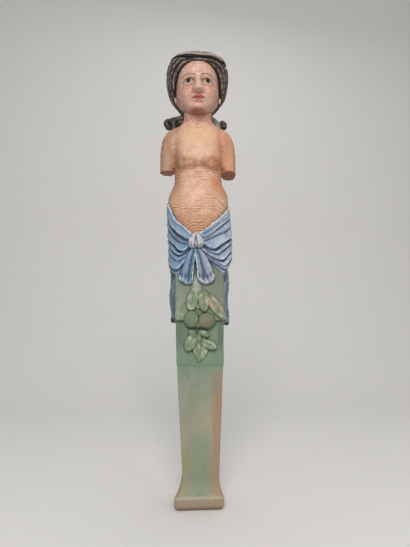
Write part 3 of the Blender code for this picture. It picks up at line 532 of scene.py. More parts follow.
def face_relief(x, v):
    """How far the face stands out at x across and v over the chin.

    The proportions are the usual thirds: nose base, brow and hairline lie 29, 59 and
    88 over the chin, and five eye widths make the face's width.
    """
    side = np.abs(x)
    # The nose: a ridge that widens and rises towards its tip
    down = smooth(62, 34, v)
    half = 4.4 + 3.2 * smooth(46, 33, v)
    height = (2.4 + 9.4 * down**1.3) * smooth(27.5, 32.5, v) * smooth(68, 60, v)
    out = height * np.clip(1 - (side / (half + 3.2)) ** 2, 0, 1) ** 1.35
    out = out + 3.2 * bell(side - 6.4, 2.7) * bell(v - 32.4, 3.1)
    out = out - 1.4 * bell(side - 3.6, 1.5) * bell(v - 29.4, 1.2)
    # Hollows under the brow, and the eyes in them
    out = out - 4.4 * bell(side - 16.5, 8.6) * bell(v - 52.0, 6.4)
    out = out - 2.2 * bell(side - 8.0, 3.4) * bell(v - 53.5, 5.0)
    lens = ((side - EYE_ACROSS) / EYE_HALF) ** 2 + ((v - 51.6) / 5.6) ** 2
    out = out + 3.6 * np.clip(1 - lens, 0, 1) ** 0.6
    across = np.clip(1 - ((side - EYE_ACROSS) / 9.2) ** 2, 0, 1)
    upper = v - (51.6 + 4.4 * across**0.8)
    lower = v - (51.6 - 3.6 * across**0.9)
    rim = smooth(10.2, 8.0, np.abs(side - EYE_ACROSS))
    out = out + rim * (1.3 * bell(upper - 0.6, 1.1) - 0.7 * bell(upper - 2.8, 0.9))
    out = out + rim * (0.9 * bell(lower + 0.5, 1.1) - 0.4 * bell(lower + 2.6, 1.2))
    out = out + 1.5 * bell(side - 16.5, 11.0) * bell(v - 60.5 - 1.8 * bell(side - 17, 8), 3.2)
    # Cheeks, mouth and chin
    out = out + 2.6 * bell(side - 20.5, 11.5) * bell(v - 36.0, 12.0)
    out = out - 0.9 * bell(side - 13.0, 4.0) * bell(v - 27.0, 6.0)
    out = out + 2.8 * bell(side, 13.0) * bell(v - 20.0, 8.5)
    mouth = np.clip(1 - (side / MOUTH_HALF) ** 2, 0, 1)
    bow = 1.3 * bell(side - 3.8, 3.0) - 0.9 * bell(side, 1.8)
    out = out + 2.3 * mouth**0.7 * bell(v - 22.4 - bow * 0.5, 1.9)
    out = out + 2.7 * mouth**0.6 * bell(v - 16.8, 2.3)
    out = out - 2.1 * mouth**0.35 * bell(v - 19.6 + 0.5 * bell(side, 3.5), 0.85)
    out = out - 0.8 * bell(side, 1.8) * bell(v - 26.3, 2.4)
    out = out - 1.5 * bell(side, 9.0) * bell(v - 12.0, 2.4)
    return out + 3.2 * bell(side, 9.0) * bell(v - 5.0, 5.5)


def face(blanks):
    """The head inside the hair."""
    # Height over the chin, half width, front and back
    skull = (
        (-1.5, 6, -37.5, -28),
        (1, 11, -39.5, -24),
        (4, 15.5, -40, -19),
        (8, 20, -40, -14),
        (13, 24.3, -39.5, -9),
        (19, 28.3, -39.5, -4),
        (26, 32.2, -40, 1),
        (34, 35.6, -40, 7),
        (44, 38.2, -39.6, 14),
        (52, 39, -39.6, 20),
        (60, 39, -41, 20),
        (70, 38.6, -42, 20),
        (80, 37, -41.5, 20),
        (92, 32, -38, 20),
        (104, 24, -29, 18),
        (112, 14, -17, 10),
    )
    v = np.linspace(skull[0][0], skull[-1][0], 300)
    width, front, back = through(skull, v).T
    turn = np.linspace(0, 2 * math.pi, 300, endpoint=False)[None, :]
    c, s = np.cos(turn), np.sin(turn)
    x = np.sign(c) * np.abs(c) ** 0.86 * width[:, None]
    tall = v[:, None] + 0 * x
    flatness = 0.92 - 0.14 * smooth(45, 75, v)[:, None]
    ahead = back[:, None] + (front - back)[:, None] * np.abs(s) ** flatness
    ahead = ahead - face_relief(x, tall) * smooth(0.15, 0.55, -s)
    y = np.where(s < 0, ahead, back[:, None] + 14 * s)
    blanks.loft(np.stack((x, y, tall * FACE_SCALE + CHIN), axis=-1) + LIFT, "face")
    # The lobes of the ears show under the hair
    for side in (-1, 1):
        blanks.ball((side * 38.2, -9, CHIN + 31 + FIGURE_BASE), (1.7, 3.8, 5.2), "face", side * -10)


# Height, half width, front and back of the mass of hair
HAIR_OUTLINE = (
    (258, 27, 17, 40),
    (275, 24.5, 13, 40),
    (292, 22, 6, 40),
    (300, 25, 0, 40),
    (308, 32, -5, 42),
    (318, 42, -14, 42),
    (328, 49, -22, 44),
    (340, 53, -28, 44),
    (352, 55, -33, 44),
    (360, 55.4, -37, 44),
    (366, 55, -41, 44),
    (370, 53.8, -42.4, 44),
    (376, 52, -43.6, 44),
    (382, 49.6, -41.6, 44),
    (388, 46, -36, 43),
    (394, 40, -28, 42),
    (400, 31, -19, 38),
    (404, 20, -10.5, 30),
    (406, 8, -2, 16),
)


def lock_flow(x, y, z):
    """A value that is level along each lock, in millimetres outwards from the face.

    The locks run level from the parting round the temples, then turn down to the nape.
    """
    round_ = np.abs(x) + 0.75 * np.maximum(0.0, y + 38)
    flow = 50 * (np.abs(round_ / 68) ** 2.8 + np.abs((z - 322) / 50) ** 2.8) ** (1 / 2.8)
    return flow + 1.6 * np.sin(0.11 * x + 0.9) + 1.2 * np.sin(0.13 * z + y * 0.09)


def hairline(x, z):
    """1 where the face shows, 0 under the hair."""
    return smooth(1.07, 0.94, np.abs(x / 40.0) ** 2.8 + np.abs((z - 322) / 45.0) ** 2.8)


def hair(blanks, sizes):
    """The mass of hair, grooved into locks, and a curl on each shoulder."""
    z = np.linspace(HAIR_OUTLINE[0][0], HAIR_OUTLINE[-1][0], 320)
    width, front, back = through(HAIR_OUTLINE, z).T
    x, y = ovals(width - 0.8, front + 0.5, back, 2.3, 420)
    middle = ((front + back) / 2)[:, None]
    reach = np.hypot(x, y - middle)
    tall = z[:, None] + 0 * x
    flow = lock_flow(x, y, tall)
    spot = np.stack((x, y, tall), axis=-1).reshape(-1, 3)
    flow = flow + 2.2 * noise(spot, (26, 26, 26), 41).reshape(x.shape)
    lock = ((flow - 1.0) / (sizes.lock_width / MM)) % 1.0
    crest = np.abs(np.sin(math.pi * lock)) ** 0.6
    deep = noise(spot, (30, 30, 16), 42).reshape(x.shape)
    grow = sizes.lock_depth / MM * (crest - 0.85) * (1 + 0.35 * deep) * smooth(0, 20, reach)
    # A bold groove parts the crown from the locks round the face
    split = bell(tall - 373.0 - 5.0 * smooth(-18, -34, x), 2.0) * smooth(14, -8, y)
    grow = grow * (1 - split) - 4.4 * split + 1.6 * bell(tall - 380, 5) * smooth(0, -20, y)
    reach = np.maximum(reach, 1.0)
    opening = 26 * hairline(x, tall) * smooth(10, -5, y)
    out_x, out_y = x / reach, (y - middle) / reach
    ring = np.stack((x + out_x * grow, y + out_y * grow + opening, tall), axis=-1)
    crest = crest * (1 - split)
    # Painted highlights on the tops of the locks, painted shade in the grooves and the bold groove
    blanks.loft(ring + LIFT, "hair", light=smooth(0.8, 1.0, crest), dark=smooth(0.72, 0.35, crest))
    blanks.ball((-40, 11, 277 + FIGURE_BASE), (12, 8, 10), "hair")
    blanks.ball((35, 11, 274 + FIGURE_BASE), (10, 7, 10.5), "hair")
    # Each roll of a curl: place and radius along it
    curls = (
        [(-18, 17, 299, 6.5), (-30, 12, 290, 6), (-43, 9, 286, 5), (-52, 6, 280, 4.6)],
        [(-18, 16, 285, 6.5), (-30, 11, 280, 6), (-40, 8, 274, 5.6), (-47, 6, 268, 4.6)],
        [(-50, 6, 284, 4.2), (-55, 3, 278, 4.4), (-52, 1, 270, 4.6), (-47, 2, 266, 3.8)],
        [(-40, 5, 284, 4.0), (-42, 2, 277, 4.6), (-41, 2, 269, 4.2), (-38, 4, 264, 3.4)],
        [(20, 17, 297, 5.4), (29, 13, 289, 4.4), (35, 10, 284, 3.6), (40, 8, 281, 3.2)],
        [(20, 15, 284, 5.4), (30, 11, 278, 4.6), (36, 9, 274, 4.0), (42, 7, 270, 3.4)],
        [(41, 6, 283, 3.2), (45.5, 3, 278.5, 4.2), (46, 1, 272, 4.6), (43, 2, 266.5, 3.6)],
    )
    for curl in curls:
        blanks.roll(np.array(curl) + (0, 0, FIGURE_BASE, 0), "hair", flutes=5, flute_depth=0.1)


# The rounded section that the cloth is wrapped round
HULL_HALF = 51.5
HULL_FRONT = -35.5
HULL_BACK = 58.0
# The folds stand out from this middle, over this half depth
FOLD_MIDDLE = 11.75
FOLD_REACH = 47.25

# The cloth, laid out by the distance round the hips from the middle of the front, and height
CLOTH_TOP = (
    (-112, 134),
    (-85, 136),
    (-65, 131),
    (-53, 118),
    (-41, 98),
    (-27, 86),
    (-16, 75),
    (-6.5, 69),
    (4, 75),
    (16, 85),
    (30, 97),
    (47, 112),
    (66, 126),
    (85, 132),
    (112, 132),
)
CLOTH_HEM = (
    (-112, 26),
    (-85, 24),
    (-66, 19),
    (-52, 12),
    (-38, 8),
    (-27, 8),
    (-18, 14),
    (-10, 27),
    (-3, 34),
    (5, 29),
    (14, 20),
    (25, 12),
    (34, 10),
    (43, 15),
    (52, 22),
    (64, 29),
    (85, 28),
    (112, 26),
)
# How far the ridge stands out, its half width, and the places along it
FOLDS = (
    (3.0, 2.6, ((-108, 112), (-85, 116), (-66, 121), (-53, 101), (-39, 80), (-29, 71), (-17, 65), (-9, 65))),
    (1.6, 2.4, ((-108, 98), (-80, 98), (-62, 92), (-47, 76), (-35, 66), (-24, 61), (-15, 60))),
    (2.8, 2.0, ((-106, 80), (-80, 78), (-64, 72), (-52, 64), (-42, 57), (-33, 49), (-25, 47), (-20, 51))),
    (2.4, 1.8, ((-106, 66), (-80, 66), (-62, 60), (-50, 51), (-38, 43), (-30, 40), (-24, 43))),
    (1.7, 1.8, ((-106, 52), (-80, 52), (-64, 48), (-50, 40), (-38, 33), (-30, 31), (-22, 35))),
    (2.2, 2.2, ((-106, 38), (-80, 38), (-62, 30), (-50, 24), (-38, 18), (-27, 18), (-18, 26), (-11, 40))),
    (1.2, 1.4, ((9, 74), (29, 90), (48, 105), (66, 119), (85, 124), (108, 124))),
    (1.8, 1.8, ((5, 67), (14, 71), (29, 83), (48, 98), (66, 111), (85, 116), (108, 116))),
    (1.5, 2.4, ((108, 100), (85, 100), (66, 94), (46, 84), (28, 74), (12, 66), (4, 62))),
    (3.0, 2.4, ((108, 86), (85, 84), (66, 77), (46, 66), (31, 55), (22, 49), (14, 51), (6, 57))),
    (1.9, 1.8, ((108, 74), (85, 72), (66, 66), (46, 55), (34, 46), (24, 41), (12, 46))),
    (2.8, 2.0, ((108, 62), (85, 60), (66, 54), (48, 43), (36, 34), (27, 31), (17, 35), (4, 47))),
    (2.2, 1.8, ((108, 50), (85, 49), (66, 44), (50, 32), (38, 24), (29, 22), (17, 30), (6, 41))),
    (2.4, 2.2, ((108, 39), (85, 38), (66, 35), (52, 27), (40, 18), (28, 18), (15, 27), (3, 40))),
)


def along_line(line, spacing=2.0):
    """A smooth line through the places, read at even steps."""
    line = np.asarray(line, float)
    reach = np.concatenate(([0], np.cumsum(np.linalg.norm(np.diff(line, axis=0), axis=1))))
    at = np.linspace(0, reach[-1], max(6, int(reach[-1] / spacing)))
    return through(np.column_stack((reach, line)), at)


def over_line(u, z, line):
    """How far each place lies over the line, and how far from it."""
    nearest = np.full(u.shape, 1e9)
    over = np.zeros_like(u)
    for (u0, z0), (u1, z1) in zip(line, line[1:]):
        du, dz = u1 - u0, z1 - z0
        share = np.clip(((u - u0) * du + (z - z0) * dz) / (du * du + dz * dz), 0, 1)
        away_u, away_z = u - u0 - du * share, z - z0 - dz * share
        away = np.hypot(away_u, away_z)
        closer = away < nearest
        nearest = np.where(closer, away, nearest)
        over = np.where(closer, np.sign(away_z) * away, over)
    return over


def fold_relief(u, z):
    """How far the folds stand out: a ridge slopes away above and drops sharply below.

    The second and third values say where the ridges and the hollows lie.
    """
    ridge, crest, hollow = np.zeros_like(u), np.zeros_like(u), np.zeros_like(u)
    spot = np.column_stack((u.ravel(), z.ravel(), np.zeros(u.size)))
    wander = 1.3 * noise(spot, (15, 15, 1), 51).reshape(u.shape)
    swell = 1 + 0.3 * noise(spot, (11, 40, 1), 52).reshape(u.shape)
    for height, width, places in FOLDS:
        over = over_line(u, z, along_line(places)) + wander
        shape = np.where(over > 0, bell(over, 2.3 * width), bell(over, 0.8 * width))
        ridge = np.maximum(ridge, height * swell * shape)
        crest = np.maximum(crest, bell(over - 0.1 * width, 0.75 * width) * min(1.0, height / 2.4))
        hollow = np.maximum(hollow, height * bell(over + 1.6 * width, 0.9 * width))
    return ridge - 0.55 * hollow, crest, np.minimum(1.0, hollow / 2.4)


def cloth(blanks):
    """The cloth round the hips: its upper edge dips to the knot, its hem swings up beside it."""
    # Height, half width on the left and on the right, and how far the front stands forward
    sides = (
        (0, 48.0, 51.0, 4.0),
        (20, 49.4, 53.0, 3.6),
        (60, 50.2, 56.0, 1.2),
        (90, 51.8, 55.2, 0),
        (112, 52.4, 54.0, 0),
        (136, 52.4, 51.4, 0),
    )
    hull = [np.array([value]) for value in (HULL_HALF, HULL_FRONT, HULL_BACK)]
    (x,), (y,) = ovals(*hull, 2.5, 480)
    (square_x,), (square_y,) = ovals(*hull, 4.6, 480)
    step = np.hypot(np.diff(x, append=x[0]), np.diff(y, append=y[0]))
    u = np.concatenate(([0], np.cumsum(step)[:-1]))
    u = u - u[np.argmin(y + np.abs(x) * 1e-3)]
    u = np.where(u > step.sum() / 2, u - step.sum(), u)
    u = np.where(u < -step.sum() / 2, u + step.sum(), u)
    top, hem = through(CLOTH_TOP, u)[:, 0], through(CLOTH_HEM, u)[:, 0]
    level = np.linspace(0, 1, 190)[:, None]
    z = hem + (top - hem) * level
    # The section is squarer towards the hem, where it covers the block
    square = smooth(52, 14, z)
    x, y = x + (square_x - x) * square, y + (square_y - y) * square
    side = through(sides, z.ravel()).reshape(*z.shape, 3)
    wide = np.where(x > 0, side[..., 1], side[..., 0]) / HULL_HALF
    relief, crest, hollow = fold_relief(np.broadcast_to(u, z.shape), z)
    relief = relief * (1 - 0.45 * smooth(52, 72, np.abs(u)))
    relief = relief - 1.6 * bell((z - hem) / 2.0, 1.0) + 1.2 * bell(z - top + 1.6, 1.7)
    out_x, out_y = x / HULL_HALF, (y - FOLD_MIDDLE) / FOLD_REACH
    length = np.hypot(out_x, out_y)
    forward = side[..., 2] * smooth(0, -20, y)
    ring = np.stack((x * wide + out_x / length * relief, y - forward + out_y / length * relief, z), axis=-1)
    # Both edges turn in towards the wood
    inner = ring[[0, -1]] * (0.82, 1, 1)
    inner[..., 1] = inner[..., 1] * 0.8 + 2
    ring = np.concatenate((inner[:1], ring, inner[1:]))
    # Painted highlights on the ridges and in a band just over the hem, painted shade in the hollows under the
    # ridges
    light, dark = (np.concatenate((value[:1], value, value[-1:])) for value in (crest, hollow))
    light = np.maximum(light, bell((ring[..., 2] - hem) / 3.0 - 1.0, 1.0) * 0.6)
    blanks.loft(ring + LIFT, "cloth", light, dark)
    # A thin roll follows the upper edge
    edge = along_line(CLOTH_TOP[2:-2], 1.5)
    order = np.argsort(u)
    rim = (x[-1] * wide[-1], y[-1] - 0.5)
    spot = np.array([np.interp(edge[:, 0], u[order], values[order]) for values in rim]).T
    width = 1.5 + 0.35 * np.sin(edge[:, 0] * 0.7) + 0.3 * np.sin(edge[:, 0] * 0.31 + 1)
    roll = np.column_stack((spot, edge[:, 1] - 0.4, width))
    blanks.roll(roll + (0, 0, FIGURE_BASE, 0), "hem")
    knot(blanks)
    tail(blanks, (-9, 47), (-33, -1), (-11, -7), 1.5, 0.9, 4.0)
    tail(blanks, (-4.5, 47), (-4, 1), (24.5, 2), 1.2, -0.86, 10.0)
    side_fall(blanks, -1, -64, 45.6)
    side_fall(blanks, 1, -69, 46.4)


def side_fall(blanks, side, foot, wide):
    """The cloth falls down a flank of the block, in thin uneven pleats."""
    t = np.linspace(0, 1, 110)[:, None]
    y = np.linspace(-17, 36, 90)[None, :]
    lower = foot + 2.5 * np.sin(0.31 * y + side) + 1.5 * np.sin(0.83 * y)
    z = lower + (38 - lower) * t
    wander = 2.2 * np.sin(z / 13.0 + side) + 1.4 * np.sin(z / 6.1)
    pleat = 1.4 * np.cos((y + wander) * 0.72) + 0.6 * np.cos((y - wander) * 1.31 + side)
    out = wide + pleat + 1.1 * np.sin(z / 9.0 + 2 * side) - 1.2 * smooth(0.25, 0.0, t)
    out = out - (wide - 38) * bell(y + 17, 2.6)
    front = np.stack((side * out, y + 0 * z, z), axis=-1)
    behind = np.stack((side * 36 + 0 * out, y + 0 * z, z), axis=-1)
    # Painted highlights on the pleats, painted shade between them
    blanks.sheet(front + LIFT, behind + LIFT, "cloth", smooth(0.6, 1.9, pleat), smooth(-0.4, -1.6, pleat))


def knot(blanks):
    """The knot: gathers bundled at the top, fanning out below, with a cleft in the middle."""
    for centre, radii in (((-5.6, -38, 60), (10.0, 8.0, 10.0)), ((-5.6, -35, 66), (7.0, 6.5, 8.0))):
        blanks.ball(np.array(centre) + LIFT, radii, "hem")
    # Places across at the top and at the bottom, radius, and how far it stands out
    for upper, lower, radius, lift in (
        (-10.4, -15.0, 2.3, 0.0),
        (-8.0, -10.6, 2.8, 1.6),
        (-5.4, -5.6, 2.0, -1.4),
        (-2.6, -0.6, 2.9, 1.6),
        (-0.6, 3.6, 2.3, 0.0),
    ):
        gather = [
            ((upper - 5.6) / 2, -37, 72 + lift * 0.6, radius * 0.7),
            (upper, -43.5 - lift * 0.4, 67, radius * 0.8),
            (lower * 0.85 + upper * 0.15, -46.4 - lift * 0.5, 60, radius),
            (lower, -45.4 - lift * 0.4, 54.5, radius),
            (lower * 0.6 + upper * 0.4, -39, 49.5, radius * 0.7),
        ]
        blanks.roll(np.array(gather) + (0, 0, FIGURE_BASE, 0), "hem")


def tail(blanks, top, left, right, waves, edge, dip):
    """One end of the cloth: it spreads from top to a ruffled hem from left to right."""
    t = np.linspace(0, 1, 70)[:, None]
    s = np.linspace(-1, 1, 111)[None, :]
    wave = np.cos(math.pi * waves * (s - edge))
    ruffle = np.cos(math.pi * 4.5 * s + 1.1 * np.sin(3 * s + 5 * t))
    hem_x = left[0] + (right[0] - left[0]) * (s + 1) / 2
    hem_z = left[1] + (right[1] - left[1]) * (s + 1) / 2 + 0.8 * wave + 0.7 * ruffle
    hem_z = hem_z - dip * np.sqrt(np.clip(1 - s * s, 0, 1))
    spread = t**0.7
    x = (top[0] + 4 * s) * (1 - spread) + hem_x * spread
    z = top[1] + (hem_z - top[1]) * t
    rise = 4.4 + 2.4 * np.sin(math.pi * (0.15 + 0.75 * t)) + (0.8 + 0.9 * t) * wave
    rise = rise + 1.6 * bell(s - edge, 0.16) + 1.4 * bell(t - 0.93, 0.05) + 0.9 * ruffle * smooth(0.7, 1.0, t)
    front = np.stack((x, -35 - rise, z), axis=-1)
    behind = np.stack((x, 0 * x - 30, z), axis=-1)
    # Painted highlights on the rolled hem, the raised edge and the crests of the waves; painted shade just
    # above the roll and in the troughs
    rolled = bell(t - 0.93, 0.08) * (0.75 + 0.25 * ruffle)
    light = np.maximum(bell(s - edge, 0.22) * smooth(0, 0.2, t), rolled)
    light = np.maximum(light, 0.6 * smooth(0.6, 1.0, wave))
    behind_roll = bell(t - 0.78, 0.07) * (0.6 - 0.4 * ruffle)
    dark = np.maximum(smooth(-0.3, -1.0, wave) * smooth(0.9, 0.7, t), behind_roll)
    blanks.sheet(front + LIFT, behind + LIFT, "cloth", np.clip(light, 0, 1), np.clip(dark, 0, 1))


# The skin


def neighbours_mean(values, edges, degree):
    """The mean of each point's neighbours."""
    out = np.empty_like(values)
    for k in range(values.shape[1]):
        total = np.bincount(edges[:, 0], values[edges[:, 1], k], len(values))
        total += np.bincount(edges[:, 1], values[edges[:, 0], k], len(values))
        out[:, k] = total / degree
    return out


def read_points(mesh):
    """The places of the mesh's points, a row for each."""
    points = np.empty(len(mesh.vertices) * 3, np.float32)
    mesh.vertices.foreach_get("co", points)
    return points.reshape(-1, 3).astype(float)


def read_normals(mesh):
    """Which way the skin faces at each point."""
    normals = np.empty(len(mesh.vertices) * 3, np.float32)
    mesh.vertex_normals.foreach_get("vector", normals)
    return normals.reshape(-1, 3).astype(float)


def read_edges(mesh):
    """The two points of each edge."""
    edges = np.empty(len(mesh.edges) * 2, np.int32)
    mesh.edges.foreach_get("vertices", edges)
    return edges.reshape(-1, 2)


def read_value(mesh, name):
    """The values that the skin keeps under this name."""
    values = np.empty(len(mesh.vertices), np.float32)
    mesh.attributes[name].data.foreach_get("value", values)
    return values.astype(float)


def write_value(mesh, name, values):
    """Keeps a value for each point of the skin under this name."""
    data = mesh.attributes.get(name) or mesh.attributes.new(name, "FLOAT", "POINT")
    data.data.foreach_set("value", values.astype(np.float32))


def carve_blanks(sizes):
    """Makes the blanks and closes them into one fine skin, an object that knows its paints."""
    blanks = Blanks()
    pilaster(blanks, sizes)
    ornament(blanks)
    body(blanks)
    face(blanks)
    hair(blanks, sizes)
    cloth(blanks)
    mesh = bpy.data.meshes.new("painted_figure")
    mesh.from_pydata((np.concatenate(blanks.points) * MM).tolist(), [], blanks.faces)
    paint = np.concatenate(blanks.paint)
    for index, name in enumerate(PAINTS):
        write_value(mesh, name, (paint == index).astype(float))
    write_value(mesh, "light", np.concatenate(blanks.light))
    write_value(mesh, "dark", np.concatenate(blanks.dark))
    figure = bpy.data.objects.new("painted_figure", mesh)
    bpy.context.scene.collection.objects.link(figure)
    bpy.context.view_layer.objects.active = figure
    figure.select_set(True)
    mesh.remesh_voxel_size = sizes.cell
    mesh.use_remesh_preserve_attributes = True
    bpy.ops.object.voxel_remesh()
    return figure


def chisel_marks(points):
    """How the chisel left the flesh: 1 on the ridge between two strokes, -1 in a stroke."""
    x, z = points[:, 0], points[:, 2] - FIGURE_BASE
    wander = 3.4 * noise(points, (15, 15, 12), 61) + 1.3 * noise(points, (6, 6, 5), 62)
    low = smooth(117, 108, z)
    hip = smooth(24, 34, x) * smooth(150, 138, z)
    chest = smooth(186, 194, z)
    level = np.sin(2 * math.pi * (z + 0.8 * wander) / 4.3)
    arcs = np.sin(2 * math.pi * (np.hypot(1.15 * (x + 1), z - 56) + wander) / 5.0)
    slant = np.sin(2 * math.pi * (0.55 * x + 0.8 * z + wander) / 6.4)
    upper = np.sin(2 * math.pi * (0.5 * np.abs(x) + z + 1.6 * wander) / 7.5)
    mark = level + (arcs - level) * low
    mark = mark + (slant - mark) * hip
    mark = mark + (0.55 * upper - mark) * chest
    return mark * np.clip(0.6 + 1.1 * noise(points, (12, 12, 7), 63), 0.05, 1.2)


def tool_marks(points, weights, mark, sizes):
    """How far the gouge and the rasp moved the skin, in millimetres along its normal."""
    x, y, z = points.T
    flesh, locks, wrap = weights["flesh"], weights["hair"], weights["cloth"] + weights["hem"]
    green = weights["green"] + weights["leaf"] + weights["fruit"]
    depth = sizes.tool_depth / MM
    slant = np.column_stack((x + 0.5 * z, y, z - 0.5 * x))
    rough = 0.3 * noise(slant, (2.8, 9, 7), 5) + 0.16 * noise(points, (2.6, 2.6, 2.6), 6)
    broad = noise(points, (13, 13, 13), 7)
    move = flesh * (depth * mark + rough + 0.3 * broad)
    flow = lock_flow(x, y, z - FIGURE_BASE)
    strand = np.sin(2 * math.pi * flow / 3.3 + noise(points, (9, 9, 9), 8) * 1.6)
    strand = 0.7 * strand + 0.3 * np.sin(2 * math.pi * flow / 1.7 + noise(points, (6, 6, 6), 9) * 2)
    on_head = smooth(FIGURE_BASE + 286, FIGURE_BASE + 296, z)
    move += locks * on_head * strand * sizes.strand_depth / MM * 0.6
    move += locks * (1 - on_head) * noise(points, (6, 6, 2.4), 10) * 0.5
    move += wrap * (0.4 * noise(points, (14, 14, 5), 11) + 0.2 * noise(points, (4, 4, 4), 12))
    grain = noise(points, (3.0, 9.0, 60.0), 13) * 0.18 + noise(points, (18, 18, 30), 14) * 0.3
    return move + green * (grain + 0.12 * noise(points, (2.6, 2.6, 2.6), 15))


def relax(values, edges, degree, share=0.5):
    """Moves the values this share of the way to the mean of their neighbours."""
    values += share * (neighbours_mean(values, edges, degree) - values)


def move_points(mesh, points):
    """Puts the skin's points at these places, given in millimetres of the design."""
    mesh.vertices.foreach_set("co", (points * MM).ravel())
    mesh.update()


def write_hollows(mesh, points, normals, edges, degree):
    """Writes how hollow the skin is, judged over three widths, in millimetres."""
    soft, done = points.copy(), 0
    for name, rounds in (("hollow_fine", 4), ("hollow", 24), ("hollow_broad", 110)):
        for _ in range(rounds - done):
            relax(soft, edges, degree)
        done = rounds
        write_value(mesh, name, ((soft - points) * normals).sum(axis=1))


def thin_out(figure, triangles):
    """Brings the skin down to this many triangles."""
    mesh = figure.data
    thin = figure.modifiers.new("thin", "DECIMATE")
    thin.ratio = min(1.0, triangles / (2 * len(mesh.polygons)))
    graph = bpy.context.evaluated_depsgraph_get()
    thinned = bpy.data.meshes.new_from_object(figure.evaluated_get(graph))
    figure.modifiers.clear()
    figure.data = thinned
    thinned.name = figure.name
    bpy.data.meshes.remove(mesh)
    thinned.shade_smooth()


def finish_skin(figure, sizes):
    """Softens the skin, flattens its back and foot, cuts the tool marks and thins it."""
    mesh = figure.data
    points, edges = read_points(mesh) / MM, read_edges(mesh)
    degree = np.bincount(edges.ravel(), minlength=len(points)).astype(float)
    for _ in range(SKIN_ROUNDS):
        relax(points, edges, degree)
    weights = np.column_stack([read_value(mesh, name) for name in PAINTS])
    for _ in range(PAINT_ROUNDS):
        relax(weights, edges, degree)
    # The arms flow into the shoulders without a seam
    x, _, z = points.T
    melt = weights[:, 0] * smooth(31, 37, np.abs(x)) * smooth(FIGURE_BASE + 190, FIGURE_BASE + 206, z)
    for _ in range(ARMPIT_ROUNDS):
        relax(points, edges, degree, 0.5 * melt[:, None])
    weights /= np.maximum(weights.sum(axis=1), 1e-6)[:, None]
    by_name = {name: weights[:, k] for k, name in enumerate(PAINTS)}
    # The back and the foot's underside stay free of tool marks, and flat
    off_flat = smooth(0.4, 3.0, BACK - points[:, 1]) * smooth(0.4, 3.0, points[:, 2])
    move_points(mesh, points)
    mark = chisel_marks(points)
    write_value(mesh, "mark", mark)
    cut = tool_marks(points, by_name, mark, sizes) * off_flat
    points += read_normals(mesh) * cut[:, None]
    points[:, 1] = np.where(points[:, 1] > BACK - FLAT_REACH, BACK, points[:, 1])
    points[:, 2] = np.where(points[:, 2] < FLAT_REACH, 0.0, points[:, 2])
    move_points(mesh, points)
    normals = read_normals(mesh)
    write_hollows(mesh, points, normals, edges, degree)
    for name in PAINTS:
        write_value(mesh, name, by_name[name])
    for name in ("light", "dark"):
        touch = read_value(mesh, name)[:, None]
        relax(touch, edges, degree)
        write_value(mesh, name, touch[:, 0])
    x, _, z = points.T
    sawn = (normals[:, 2] < -0.8) * (z > FIGURE_BASE + 165) * (z < FIGURE_BASE + 200)
    write_value(mesh, "sawn", sawn * (np.abs(x) > ARM_INNER))
    thin_out(figure, sizes.triangles)


# The paint


